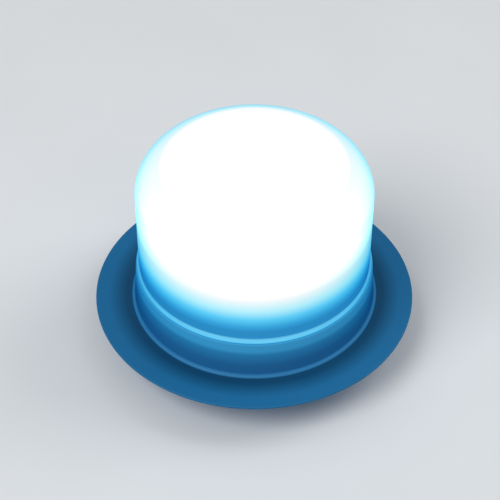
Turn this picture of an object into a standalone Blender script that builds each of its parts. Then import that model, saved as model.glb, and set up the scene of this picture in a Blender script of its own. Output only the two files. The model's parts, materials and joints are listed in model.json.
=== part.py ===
"""Battery LED flare lamp, built as the separate pieces that it comes apart into.

A frosted cap pulls off a flanged base. The base holds a control board with a push switch and a charging
socket, two cells in a holder, and a carrier whose board of light emitters shines up into the cap.

Metres, +Z up. The origin is on the surface that the lamp stands on, under the lamp's axis. The charging
port faces +Y, and the cells lie along X.
"""

import math

import bmesh
import bpy
from mathutils import Matrix, Vector

MM = 0.001

# Clearances
SEAT_GAP = 0.3 * MM  # between two pieces that rest on each other
SOLDER_GAP = 0.15 * MM  # between a board and what is soldered to it
SLIDE_GAP = 0.3 * MM  # on each side of a piece that slides or turns in another
SCREW_GAP = 0.2 * MM  # round the shank of a screw
BITE = 0.6 * MM  # how far a joined shape reaches into the wall that it grows from

# Facets
BODY_STEPS = 48
SMALL_STEPS = 16
SCREW_STEPS = 12
CELL_STEPS = 28
ROUND_STEPS = 5  # along a quarter of a large rounding
EDGE_STEPS = 2  # along a quarter of a small rounding
SHARP_ANGLE = math.radians(30.0)  # faces that meet at more than this are shaded apart
FULL_ROUND = 0.499  # of a bar's height, just short of half, so that its two rounds don't meet

# Cap
CAP_RADIUS = 43.0 * MM
CAP_HEIGHT = 43.9 * MM  # from its seat to its top
CAP_WALL = 2.0 * MM
CAP_TOP_ROUND = 11.8 * MM
CAP_SEAT_WIDTH = 1.7 * MM
CAP_SPIGOT_LENGTH = 6.0 * MM
CAP_SPIGOT_WALL = 1.6 * MM
CAP_SPIGOT_LEAD_IN = 0.5 * MM
CAP_SEAL_HEIGHT = 1.2 * MM
CAP_SEAL_PROUD = 0.7 * MM  # past the cap's wall

# Base shell
FLANGE_RADIUS = 60.0 * MM
FLANGE_THICKNESS = 1.1 * MM
FLANGE_ROUND = 0.5 * MM
COLLAR_HEIGHT = 15.2 * MM
COLLAR_STEP = 1.2 * MM  # its top edge past the cap's wall
COLLAR_FLARE = 1.0 * MM  # its foot past its top edge
COLLAR_ROUND = 0.5 * MM
BEAD_RADIUS = 1.1 * MM  # the quarter-round bead where the collar meets the flange
HOUSING_HEIGHT = 9.5 * MM  # the wall below the flange
HOUSING_STEP = 0.5 * MM  # past the cap's wall
SHELL_BOSS_HEIGHT = 4.2 * MM
BOSS_RADIUS = 3.3 * MM
BOSS_RIB = 2.4 * MM

# Bottom cover and what stands on it
FOOT_RADIUS = 4.5 * MM
FOOT_HEIGHT = 1.0 * MM
FOOT_ROUND = 0.3 * MM
FOOT_RECESS = 0.4 * MM
FOOT_CIRCLE = 35.0 * MM
FOOT_ANGLE = math.radians(30.0)
COVER_PLATE = 2.4 * MM
COVER_ROUND = 0.8 * MM
COVER_SPIGOT_HEIGHT = 3.5 * MM
COVER_SPIGOT_WALL = 2.0 * MM
COVER_BOSS_HEIGHT = 7.6 * MM
BOTTOM_SEAL_HEIGHT = 0.8 * MM
BOTTOM_SEAL_INSET = 0.4 * MM  # inside the wall on both sides

# Posts and screws, which line up through the whole stack
POST_ANGLE = math.radians(60.0)
POST_EDGE = 4.5 * MM  # from the control board's rim
COVER_SCREW_RADIUS = 1.5 * MM
COVER_SCREW_LENGTH = 27.0 * MM
COVER_SCREW_HEAD_RADIUS = 2.9 * MM
COVER_SCREW_HEAD_HEIGHT = 1.5 * MM
LED_SCREW_RADIUS = 1.2 * MM
LED_SCREW_LENGTH = 6.5 * MM
LED_SCREW_HEAD_RADIUS = 2.3 * MM
LED_SCREW_HEAD_HEIGHT = 1.5 * MM
SCREW_SLOT_WIDTH = 0.7 * MM
SCREW_SLOT_DEPTH = 0.8 * MM
SCREW_SLOT_SPAN = 0.7  # of the head's diameter
SCREW_CROWN_ARC = 60.0  # the round of a head's edge, in degrees
SCREW_TIP = 0.6 * MM
SCREW_HOLE_SPARE = 1.0 * MM  # below a screw's tip

# Control board
BOARD_MARGIN = 3.3 * MM  # from the shell's bore
BOARD_THICKNESS = 1.6 * MM
BOARD_TAB_MARGIN = 1.2 * MM  # the rear tab past each side of the socket
CHIP_WIDTH = 9.0 * MM
CHIP_HEIGHT = 1.6 * MM
CHIP_OFFSET = 5.0 * MM  # behind the lamp's axis
COIL_WIDTH = 8.0 * MM
COIL_HEIGHT = 3.4 * MM
CHIP_ROUND = 0.3 * MM
COIL_ROUND = 1.2 * MM
CAPACITOR_RADIUS = 3.0 * MM
CAPACITOR_HEIGHT = 3.8 * MM
CAPACITOR_ROUND = 0.5 * MM
COIL_ASIDE = 14.0 * MM  # the coil to one side of the lamp's axis and the capacitor to the other
COIL_OFFSET = 7.0 * MM  # both behind the lamp's axis

# Power button, its switch and its status light
BUTTON_CIRCLE = 26.0 * MM  # from the lamp's axis
BUTTON_RADIUS = 5.0 * MM
BUTTON_RECESS = 0.3 * MM  # its face above the cover's underside
BUTTON_ROUND = 0.6 * MM
BUTTON_RIM = 1.4 * MM  # the retaining rim past the button's side
BUTTON_RIM_HEIGHT = 0.9 * MM
BUTTON_STEM_RADIUS = 2.0 * MM
BUTTON_TRAVEL = 1.0 * MM
SWITCH_WIDTH = 6.2 * MM
SWITCH_HEIGHT = 3.2 * MM
SWITCH_ROUND = 0.3 * MM
PLUNGER_RADIUS = 1.6 * MM
PLUNGER_REACH = 1.2 * MM  # out of the switch's body
PLUNGER_DEPTH = 1.2 * MM  # inside it
STATUS_OFFSET = 10.0 * MM  # beside the button
STATUS_LED_LENGTH = 2.0 * MM
STATUS_LED_WIDTH = 1.2 * MM
STATUS_LED_HEIGHT = 0.8 * MM
STATUS_LED_ROUND = 0.15 * MM
LIGHT_PIPE_RADIUS = 1.2 * MM
LIGHT_PIPE_RIM = 0.8 * MM
LIGHT_PIPE_RIM_HEIGHT = 0.8 * MM

# Charging port, its cover and its hinge
SOCKET_WIDTH = 9.0 * MM
SOCKET_HEIGHT = 3.2 * MM
SOCKET_DEPTH = 8.0 * MM
SOCKET_WALL = 0.35 * MM
SOCKET_BACK = 1.0 * MM
SOCKET_INSET = 0.3 * MM  # its mouth behind the port's flat
TONGUE_WIDTH = 6.6 * MM
TONGUE_DEPTH = 5.2 * MM
TONGUE_THICKNESS = 0.7 * MM
TONGUE_ROUND = 0.175 * MM
PORT_MARGIN = 0.35 * MM  # the port's hole past the socket
PORT_FLAT_DEPTH = 0.6 * MM
PORT_COVER_MARGIN = 2.4 * MM  # past the port's hole at each side
PORT_COVER_LIP = 1.5 * MM  # past the port's hole above and below
PORT_COVER_THICKNESS = 1.8 * MM
PORT_COVER_ROUND = 0.5 * MM
PORT_GRIP_WIDTH = 1.2 * MM
PORT_GRIP_PROUD = 0.8 * MM
PLUG_REACH = 0.8 * MM  # into the socket's mouth
PLUG_MARGIN = 0.4 * MM  # inside the socket's walls
KNUCKLE_RADIUS = 1.5 * MM
KNUCKLE_HEIGHT = 4.4 * MM
KNUCKLE_CLEARANCE = 0.5 * MM  # to the housing's wall and to the cover
LUG_HEIGHT = 1.6 * MM
PIN_RADIUS = 0.7 * MM
PIN_GAP = 0.15 * MM

# Cells, their holder and their links
CELL_RADIUS = 9.2 * MM
CELL_LENGTH = 50.0 * MM
CELL_ROUND = 1.0 * MM
CELL_NUB_RADIUS = 3.2 * MM
CELL_NUB_HEIGHT = 1.0 * MM
CELL_SPACING = 0.8 * MM
HOLDER_PLATE = 1.4 * MM
HOLDER_BAR = 5.0 * MM
SADDLE_THICKNESS = 4.0 * MM
SADDLE_HEIGHT = 8.0 * MM
END_STOP_WIDTH = 8.0 * MM
END_STOP_THICKNESS = 1.5 * MM
END_STOP_HEIGHT = 14.0 * MM
LINK_THICKNESS = 0.3 * MM
LINK_HEIGHT = 7.0 * MM
LINK_OVERHANG = 3.5 * MM  # past each cell's axis

# Light carrier, light board and emitters
CARRIER_MARGIN = 0.6 * MM  # inside the cap's spigot
CARRIER_PLATE = 1.6 * MM
POST_RADIUS = 3.2 * MM
LED_BOARD_MARGIN = 0.8 * MM  # inside the carrier's rim
LED_BOARD_THICKNESS = 1.6 * MM
LED_WIDTH = 5.0 * MM
LED_HEIGHT = 1.6 * MM
LED_ROUND = 0.3 * MM
LED_SCREW_ROOM = 1.7 * MM  # between the outer emitters and the heads of the light board's screws
LED_INNER_CIRCLE = 12.0 * MM
LED_OUTER_COUNT = 8
LED_INNER_COUNT = 4
NOTCH_RADIUS = 3.4 * MM
NOTCH_INSET = 1.5 * MM  # the notch's centre from the light board's rim

# Leads
LEAD_RADIUS = 0.75 * MM
LEAD_SPACING = 3.2 * MM
LEAD_STEP = 3.0 * MM  # between the points that a lead is drawn through
LED_LEAD_FOOT = 22.0 * MM  # where it leaves the control board, from the lamp's axis
LED_PAD_INSET = 2.6 * MM  # where it lands on the light board, from the notch's edge
LED_LEAD_ARCH = 2.4 * MM  # its height above the light board
CELL_LEAD_DROP = 1.2 * MM  # outside the holder, on its way down
LEAD_END_RISE = 2.0 * MM  # a lead leaves a board square to it for this length

# Levels, from the ground up
COVER_BOTTOM = FOOT_HEIGHT + SEAT_GAP - FOOT_RECESS
COVER_TOP = COVER_BOTTOM + COVER_PLATE
SHELL_BOTTOM = COVER_TOP + BOTTOM_SEAL_HEIGHT + 2 * SEAT_GAP
FLANGE_BOTTOM = SHELL_BOTTOM + HOUSING_HEIGHT
FLANGE_TOP = FLANGE_BOTTOM + FLANGE_THICKNESS
COLLAR_TOP = FLANGE_TOP + COLLAR_HEIGHT
CAP_SEAT = COLLAR_TOP + CAP_SEAL_HEIGHT + 2 * SEAT_GAP
BOARD_BOTTOM = COVER_TOP + COVER_BOSS_HEIGHT + SEAT_GAP
BOARD_TOP = BOARD_BOTTOM + BOARD_THICKNESS
SHELL_BOSS_BOTTOM = BOARD_TOP + SEAT_GAP
SHELL_BOSS_TOP = SHELL_BOSS_BOTTOM + SHELL_BOSS_HEIGHT
HOLDER_BOTTOM = SHELL_BOSS_TOP + SEAT_GAP
HOLDER_TOP = HOLDER_BOTTOM + HOLDER_PLATE
CELL_LEVEL = HOLDER_TOP + SEAT_GAP + CELL_RADIUS
POST_BOTTOM = HOLDER_TOP + SEAT_GAP
CARRIER_BOTTOM = CELL_LEVEL + CELL_RADIUS + SEAT_GAP
CARRIER_TOP = CARRIER_BOTTOM + CARRIER_PLATE
LED_BOARD_BOTTOM = CARRIER_TOP + SEAT_GAP
LED_BOARD_TOP = LED_BOARD_BOTTOM + LED_BOARD_THICKNESS
SWITCH_TOP = BOARD_BOTTOM - SOLDER_GAP
SWITCH_BOTTOM = SWITCH_TOP - SWITCH_HEIGHT
PORT_LEVEL = BOARD_BOTTOM - SOLDER_GAP - SOCKET_HEIGHT / 2

# Radii and places that follow from the sizes
SHELL_BORE = CAP_RADIUS - CAP_SEAT_WIDTH
HOUSING_RADIUS = CAP_RADIUS + HOUSING_STEP
COLLAR_TOP_RADIUS = CAP_RADIUS + COLLAR_STEP
COLLAR_FOOT_RADIUS = COLLAR_TOP_RADIUS + COLLAR_FLARE
SPIGOT_RADIUS = SHELL_BORE - SLIDE_GAP
SPIGOT_BORE = SPIGOT_RADIUS - CAP_SPIGOT_WALL
CARRIER_RADIUS = SPIGOT_BORE - CARRIER_MARGIN
LED_BOARD_RADIUS = CARRIER_RADIUS - LED_BOARD_MARGIN
BOARD_RADIUS = SHELL_BORE - BOARD_MARGIN
POST_CIRCLE = BOARD_RADIUS - POST_EDGE
COVER_SPIGOT_RADIUS = SHELL_BORE - SLIDE_GAP
CELL_OFFSET = CELL_RADIUS + CELL_SPACING / 2
LINK_INNER = CELL_LENGTH / 2 + SEAT_GAP  # the end face of a link, before any nub
NOTCH_CENTRE = LED_BOARD_RADIUS - NOTCH_INSET
LED_LEAD_PAD = NOTCH_CENTRE - NOTCH_RADIUS - LED_PAD_INSET
LED_OUTER_CIRCLE = POST_CIRCLE - LED_SCREW_HEAD_RADIUS - LED_SCREW_ROOM - LED_WIDTH / 2
BUTTON_PLACE = Vector((0.0, -BUTTON_CIRCLE))
PORT_WIDTH = SOCKET_WIDTH + 2 * PORT_MARGIN
PORT_HEIGHT = SOCKET_HEIGHT + 2 * PORT_MARGIN
PORT_FLAT = HOUSING_RADIUS - PORT_FLAT_DEPTH
PORT_COVER_WIDTH = PORT_WIDTH + 2 * PORT_COVER_MARGIN
PORT_COVER_HEIGHT = PORT_HEIGHT + 2 * PORT_COVER_LIP
PORT_COVER_BACK = PORT_FLAT + SEAT_GAP
HINGE_X = -(PORT_COVER_WIDTH / 2 + KNUCKLE_RADIUS + KNUCKLE_CLEARANCE)
HINGE_CIRCLE = HOUSING_RADIUS + KNUCKLE_RADIUS + KNUCKLE_CLEARANCE
HINGE_Y = math.sqrt(HINGE_CIRCLE**2 - HINGE_X**2)
KNUCKLE_BOTTOM = PORT_LEVEL - KNUCKLE_HEIGHT / 2
KNUCKLE_TOP = PORT_LEVEL + KNUCKLE_HEIGHT / 2
LOWER_LUG_TOP = KNUCKLE_BOTTOM - SLIDE_GAP
UPPER_LUG_BOTTOM = KNUCKLE_TOP + SLIDE_GAP
MOUTH = PORT_FLAT - SOCKET_INSET
OVERSHOOT = 1.0 * MM  # how far a cutter runs past the face that it opens
AXIS_SIZE = 5.0 * MM  # of the marks on the joints' axes


def spread(angle, circle):
    """The four places that mirror one angle across both axes."""
    x = circle * math.cos(angle)
    y = circle * math.sin(angle)
    return [(x, y), (-x, y), (-x, -y), (x, -y)]


POST_PLACES = spread(POST_ANGLE, POST_CIRCLE)
FOOT_PLACES = spread(FOOT_ANGLE, FOOT_CIRCLE)


def clear_scene():
    for item in list(bpy.data.objects):
        bpy.data.objects.remove(item)


def new_collection(name):
    collection = bpy.data.collections.new(name)
    bpy.context.scene.collection.children.link(collection)
    return collection


def finish(name, colour, roughness, metallic=0.0, transmission=0.0):
    """A Principled material with one plain finish."""
    material = bpy.data.materials.new(name)
    material.use_nodes = True
    shader = material.node_tree.nodes["Principled BSDF"]
    shader.inputs["Base Color"].default_value = (*colour, 1.0)
    shader.inputs["Roughness"].default_value = roughness
    shader.inputs["Metallic"].default_value = metallic
    shader.inputs["Transmission Weight"].default_value = transmission
    material.diffuse_color = (*colour, 1.0)
    return material


def add_part(name, mesh, material, place=(0.0, 0.0, 0.0), turn=(0.0, 0.0, 0.0), parent=None):
    """One sub-part of the lamp, smooth on its round faces."""
    part = bpy.data.objects.new(name, mesh)
    PARTS.objects.link(part)
    mesh.materials.clear()
    mesh.materials.append(material)
    mesh.shade_smooth()
    mesh.set_sharp_from_angle(angle=SHARP_ANGLE)
    part.parent = parent
    part.location = place
    part.rotation_euler = turn
    return part


def add_axis(name, place):
    """An empty on a joint's axis, which carries what moves on it."""
    axis = bpy.data.objects.new(name, None)
    axis.empty_display_size = AXIS_SIZE
    axis.location = place
    PARTS.objects.link(axis)
    return axis


def add_tool(name, mesh, place=(0.0, 0.0, 0.0), turn=(0.0, 0.0, 0.0)):
    """A shape that is cut from a part or joined to it."""
    tool = bpy.data.objects.new(name, mesh)
    TOOLS.objects.link(tool)
    tool.location = place
    tool.rotation_euler = turn
    tool.hide_render = True
    tool.display_type = "WIRE"
    return tool


def combine(part, tool, operation):
    modifier = part.modifiers.new(tool.name, "BOOLEAN")
    modifier.operation = operation
    modifier.solver = "EXACT"
    modifier.object = tool


def cut(part, mesh, place=(0.0, 0.0, 0.0), turn=(0.0, 0.0, 0.0)):
    combine(part, add_tool(f"cut_{part.name}", mesh, place, turn), "DIFFERENCE")


def join(part, mesh, place=(0.0, 0.0, 0.0), turn=(0.0, 0.0, 0.0)):
    combine(part, add_tool(f"join_{part.name}", mesh, place, turn), "UNION")


def mesh_from(form, name):
    mesh = bpy.data.meshes.new(name)
    form.to_mesh(mesh)
    form.free()
    return mesh


def evaluated(item):
    """The finished mesh of an object with its modifiers, which takes the object's place."""
    bpy.context.view_layer.update()
    graph = bpy.context.evaluated_depsgraph_get()
    mesh = bpy.data.meshes.new_from_object(item.evaluated_get(graph))
    bpy.data.objects.remove(item)
    return mesh


def cylinder(radius, height, steps=SMALL_STEPS):
    """A round bar that stands on its origin."""
    form = bmesh.new()
    bmesh.ops.create_cone(
        form, cap_ends=True, segments=steps, radius1=radius, radius2=radius, depth=height,
        matrix=Matrix.Translation((0.0, 0.0, height / 2)),
    )
    return mesh_from(form, "cylinder")


def block(size, rounding=0.0, along=None):
    """A box that stands on its origin, with all its edges chamfered, or those along one axis rounded."""
    form = bmesh.new()
    bmesh.ops.create_cube(form, size=1.0)
    bmesh.ops.scale(form, vec=size, verts=form.verts)
    bmesh.ops.translate(form, vec=(0.0, 0.0, size[2] / 2), verts=form.verts)
    if rounding:
        edges = [
            edge for edge in form.edges
            if along is None or abs((edge.verts[0].co - edge.verts[1].co).normalized()[along]) > 0.9
        ]
        bmesh.ops.bevel(
            form, geom=edges, offset=rounding, offset_type="OFFSET", affect="EDGES",
            segments=1 if along is None else ROUND_STEPS, profile=0.5, material=-1,
        )
    return mesh_from(form, "block")


def slot_bar(width, height, depth):
    """A bar along Y with a flat-sided section and full round ends, centred on its origin."""
    mesh = block((width, depth, height), rounding=FULL_ROUND * height, along=1)
    mesh.transform(Matrix.Translation((0.0, 0.0, -height / 2)))
    return mesh


def arc(centre, radius, start, end, steps):
    """Points (radius, level) along an arc, both ends included, from one angle to another in degrees."""
    angles = [math.radians(start + (end - start) * step / steps) for step in range(steps + 1)]
    return [(centre[0] + radius * math.cos(a), centre[1] + radius * math.sin(a)) for a in angles]


def turned(profile, steps=SMALL_STEPS, ring=False):
    """A profile of (radius, level) points turned about Z. It runs down its outer side, and a ring closes."""
    mesh = bpy.data.meshes.new("turned")
    edges = [(i, i + 1) for i in range(len(profile) - 1)]
    if ring:
        edges.append((len(profile) - 1, 0))
    mesh.from_pydata([(radius, 0.0, level) for radius, level in profile], edges, [])
    item = bpy.data.objects.new("turned", mesh)
    TOOLS.objects.link(item)
    screw = item.modifiers.new("turn", "SCREW")
    screw.steps = steps
    screw.render_steps = steps
    screw.use_merge_vertices = True
    screw.merge_threshold = 0.001 * MM
    return evaluated(item)


def smooth_route(points):
    """Points a lead's step apart on a smooth curve through the route's own points, straight at both ends."""
    points = [Vector(p) for p in points]
    route = points[:2]
    for before, start, end, after in zip(points, points[1:], points[2:], points[3:]):
        count = max(2, round((end - start).length / LEAD_STEP))
        for step in range(1, count + 1):
            t = step / count
            bend = 2 * before - 5 * start + 4 * end - after
            twist = 3 * start - before - 3 * end + after
            route.append(start + 0.5 * t * (end - before + t * (bend + t * twist)))
    return [*route, points[-1]]


def add_lead(name, points, material):
    """A round insulated wire along a route."""
    curve = bpy.data.curves.new(name, "CURVE")
    curve.dimensions = "3D"
    curve.bevel_depth = LEAD_RADIUS
    curve.bevel_resolution = 2
    curve.use_fill_caps = True
    route = smooth_route(points)
    spline = curve.splines.new("POLY")
    spline.points.add(len(route) - 1)
    for point, place in zip(spline.points, route):
        point.co = (*place, 1.0)
    curve.materials.append(material)
    PARTS.objects.link(bpy.data.objects.new(name, curve))


def build_base_shell(material):
    """The flanged shell: a collar above the flange, a housing wall below it, bosses and hinge lugs."""
    profile = [
        *arc((COLLAR_TOP_RADIUS - COLLAR_ROUND, COLLAR_TOP - COLLAR_ROUND), COLLAR_ROUND, 90, 0, EDGE_STEPS),
        *arc((COLLAR_FOOT_RADIUS, FLANGE_TOP), BEAD_RADIUS, 90, 0, EDGE_STEPS + 1),
        *arc((FLANGE_RADIUS - FLANGE_ROUND, FLANGE_TOP - FLANGE_ROUND), FLANGE_ROUND, 90, 0, EDGE_STEPS),
        *arc((FLANGE_RADIUS - FLANGE_ROUND, FLANGE_BOTTOM + FLANGE_ROUND), FLANGE_ROUND, 0, -90, EDGE_STEPS),
        (HOUSING_RADIUS, FLANGE_BOTTOM),
        (HOUSING_RADIUS, SHELL_BOTTOM),
        (SHELL_BORE, SHELL_BOTTOM),
        (SHELL_BORE, COLLAR_TOP),
    ]
    shell = add_part("base_shell", turned(profile, BODY_STEPS, ring=True), material)
    rib_length = SHELL_BORE + BITE - POST_CIRCLE
    rib_size = (rib_length, BOSS_RIB, SHELL_BOSS_HEIGHT - 2 * BITE)
    rib_middle = POST_CIRCLE + rib_length / 2
    for x, y in POST_PLACES:
        angle = math.atan2(y, x)
        rib_place = (rib_middle * math.cos(angle), rib_middle * math.sin(angle), SHELL_BOSS_BOTTOM + BITE)
        join(shell, cylinder(BOSS_RADIUS, SHELL_BOSS_HEIGHT), (x, y, SHELL_BOSS_BOTTOM))
        join(shell, block(rib_size), rib_place, (0.0, 0.0, angle))
    hole = cylinder(COVER_SCREW_RADIUS + SCREW_GAP, SHELL_BOSS_HEIGHT + 2 * OVERSHOOT)
    for x, y in POST_PLACES:
        cut(shell, hole, (x, y, SHELL_BOSS_BOTTOM - OVERSHOOT))
    cut_port(shell)
    add_hinge_lugs(shell)


def cut_port(shell):
    """The flat that the port cover lies on, and the hole that the charging socket looks out of."""
    flat_depth = PORT_FLAT_DEPTH + OVERSHOOT
    flat_size = (PORT_COVER_WIDTH, flat_depth, HOUSING_HEIGHT + OVERSHOOT)
    cut(shell, block(flat_size), (0.0, PORT_FLAT + flat_depth / 2, SHELL_BOTTOM - OVERSHOOT))
    hole_start = math.sqrt(SHELL_BORE**2 - (PORT_WIDTH / 2) ** 2) - OVERSHOOT
    hole_depth = HOUSING_RADIUS + OVERSHOOT - hole_start
    hole = slot_bar(PORT_WIDTH, PORT_HEIGHT, hole_depth)
    cut(shell, hole, (0.0, hole_start + hole_depth / 2, PORT_LEVEL))


def add_hinge_lugs(shell):
    """Two lugs that hold the port cover's pin: one under the flange, one out from the wall."""
    upper_height = FLANGE_BOTTOM + BITE - UPPER_LUG_BOTTOM
    join(shell, cylinder(KNUCKLE_RADIUS, upper_height), (HINGE_X, HINGE_Y, UPPER_LUG_BOTTOM))
    lug_bottom = LOWER_LUG_TOP - LUG_HEIGHT
    angle = math.atan2(HINGE_Y, HINGE_X)
    root = HOUSING_RADIUS - BITE
    reach = HINGE_CIRCLE - root
    middle = root + reach / 2
    web_size = (reach, 2 * KNUCKLE_RADIUS - BITE, LUG_HEIGHT - BITE)
    web_place = (middle * math.cos(angle), middle * math.sin(angle), lug_bottom + BITE / 2)
    join(shell, cylinder(KNUCKLE_RADIUS, LUG_HEIGHT), (HINGE_X, HINGE_Y, lug_bottom))
    join(shell, block(web_size), web_place, (0.0, 0.0, angle))
    hole_height = FLANGE_BOTTOM - lug_bottom + OVERSHOOT
    cut(shell, cylinder(PIN_RADIUS + PIN_GAP, hole_height), (HINGE_X, HINGE_Y, lug_bottom - OVERSHOOT))


def build_hinge_pin(material):
    bottom = LOWER_LUG_TOP - LUG_HEIGHT
    pin = cylinder(PIN_RADIUS, FLANGE_BOTTOM - PIN_GAP - bottom)
    add_part("port_hinge_pin", pin, material, (HINGE_X, HINGE_Y, bottom))


def build_bottom_cover(material):
    """The round plate that closes the housing, with a spigot, bosses under the control board and recesses."""
    rim = HOUSING_RADIUS
    spigot = COVER_SPIGOT_RADIUS
    spigot_top = COVER_TOP + COVER_SPIGOT_HEIGHT
    profile = [
        (0.0, COVER_TOP),
        (spigot - COVER_SPIGOT_WALL, COVER_TOP),
        (spigot - COVER_SPIGOT_WALL, spigot_top),
        (spigot, spigot_top),
        (spigot, COVER_TOP),
        (rim, COVER_TOP),
        *arc((rim - COVER_ROUND, COVER_BOTTOM + COVER_ROUND), COVER_ROUND, 0, -90, EDGE_STEPS),
        (0.0, COVER_BOTTOM),
    ]
    cover = add_part("bottom_cover", turned(profile, BODY_STEPS), material)
    for x, y in POST_PLACES:
        join(cover, cylinder(BOSS_RADIUS, COVER_BOSS_HEIGHT + BITE), (x, y, COVER_TOP - BITE))
    below = COVER_BOTTOM - OVERSHOOT
    shank = COVER_SCREW_RADIUS + SCREW_GAP
    head = COVER_SCREW_HEAD_RADIUS + SCREW_GAP
    seat = COVER_BOTTOM + COVER_SCREW_HEAD_HEIGHT + SEAT_GAP
    boss_top = COVER_TOP + COVER_BOSS_HEIGHT
    countersink = turned([
        (0.0, boss_top + OVERSHOOT), (shank, boss_top + OVERSHOOT), (shank, seat),
        (head, seat), (head, below), (0.0, below),
    ])
    for x, y in POST_PLACES:
        cut(cover, countersink, (x, y, 0.0))
    recess = cylinder(FOOT_RADIUS + SLIDE_GAP, FOOT_RECESS + OVERSHOOT)
    for x, y in FOOT_PLACES:
        cut(cover, recess, (x, y, below))
    through = COVER_PLATE + 2 * OVERSHOOT
    cut(cover, cylinder(BUTTON_RADIUS + SLIDE_GAP, through), (*BUTTON_PLACE, below))
    cut(cover, cylinder(LIGHT_PIPE_RADIUS + SLIDE_GAP, through), (*status_place(), below))


def status_place():
    return (BUTTON_PLACE.x + STATUS_OFFSET, BUTTON_PLACE.y)


def build_bottom_seal(material):
    bottom = COVER_TOP + SEAT_GAP
    top = bottom + BOTTOM_SEAL_HEIGHT
    outer = HOUSING_RADIUS - BOTTOM_SEAL_INSET
    inner = SHELL_BORE + BOTTOM_SEAL_INSET
    profile = [(inner, top), (outer, top), (outer, bottom), (inner, bottom)]
    add_part("bottom_seal", turned(profile, BODY_STEPS, ring=True), material)


def build_feet(material):
    profile = [
        (0.0, FOOT_HEIGHT),
        (FOOT_RADIUS, FOOT_HEIGHT),
        *arc((FOOT_RADIUS - FOOT_ROUND, FOOT_ROUND), FOOT_ROUND, 0, -90, EDGE_STEPS),
        (0.0, 0.0),
    ]
    foot = turned(profile)
    for number, (x, y) in enumerate(FOOT_PLACES, 1):
        add_part(f"foot_pad_{number}", foot, material, (x, y, 0.0))


def screw_mesh(radius, length, head_radius, head_height):
    """A pan-head screw with a cross slot, its head up and the underside of the head at its origin."""
    crown = head_height / 2
    profile = [
        (0.0, head_height),
        (head_radius - crown, head_height),
        *arc((head_radius - crown, head_height - crown), crown, SCREW_CROWN_ARC, 0, EDGE_STEPS),
        (head_radius, 0.0),
        (radius, 0.0),
        (radius, SCREW_TIP - length),
        (radius - SCREW_TIP, -length),
        (0.0, -length),
    ]
    screw = add_tool("screw", turned(profile, SCREW_STEPS))
    slot = block((2 * head_radius * SCREW_SLOT_SPAN, SCREW_SLOT_WIDTH, SCREW_SLOT_DEPTH + OVERSHOOT))
    for turn in (0.0, math.pi / 2):
        cut(screw, slot, (0.0, 0.0, head_height - SCREW_SLOT_DEPTH), (0.0, 0.0, turn))
    return evaluated(screw)


def build_cover_screws(material):
    screw = screw_mesh(
        COVER_SCREW_RADIUS, COVER_SCREW_LENGTH, COVER_SCREW_HEAD_RADIUS, COVER_SCREW_HEAD_HEIGHT
    )
    level = COVER_BOTTOM + COVER_SCREW_HEAD_HEIGHT
    for number, (x, y) in enumerate(POST_PLACES, 1):
        add_part(f"cover_screw_{number}", screw, material, (x, y, level), (math.pi, 0.0, 0.0))


def build_control_board(material):
    """A round board with a tab at the rear, over the charging socket."""
    board = add_part("control_board", cylinder(BOARD_RADIUS, BOARD_THICKNESS, BODY_STEPS), material,
                     (0.0, 0.0, BOARD_BOTTOM))
    tab_width = SOCKET_WIDTH + 2 * BOARD_TAB_MARGIN
    tab_end = math.sqrt((SHELL_BORE - SLIDE_GAP) ** 2 - (tab_width / 2) ** 2)
    tab = block((tab_width, tab_end, BOARD_THICKNESS))
    join(board, tab, (0.0, tab_end / 2, BOARD_BOTTOM))
    hole = cylinder(COVER_SCREW_RADIUS + SCREW_GAP, BOARD_THICKNESS + 2 * OVERSHOOT)
    for x, y in POST_PLACES:
        cut(board, hole, (x, y, BOARD_BOTTOM - OVERSHOOT))


def build_board_pieces(chip, coil, can):
    """What is soldered to the control board's upper face."""
    level = BOARD_TOP + SOLDER_GAP
    chip_size = (CHIP_WIDTH, CHIP_WIDTH, CHIP_HEIGHT)
    coil_size = (COIL_WIDTH, COIL_WIDTH, COIL_HEIGHT)
    add_part("control_chip", block(chip_size, CHIP_ROUND), chip, (0.0, CHIP_OFFSET, level))
    add_part("charge_coil", block(coil_size, COIL_ROUND, along=2), coil, (COIL_ASIDE, COIL_OFFSET, level))
    top = CAPACITOR_HEIGHT - CAPACITOR_ROUND
    profile = [
        (0.0, CAPACITOR_HEIGHT),
        *arc((CAPACITOR_RADIUS - CAPACITOR_ROUND, top), CAPACITOR_ROUND, 90, 0, EDGE_STEPS),
        (CAPACITOR_RADIUS, 0.0),
        (0.0, 0.0),
    ]
    add_part("filter_capacitor", turned(profile), can, (-COIL_ASIDE, COIL_OFFSET, level))


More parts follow.
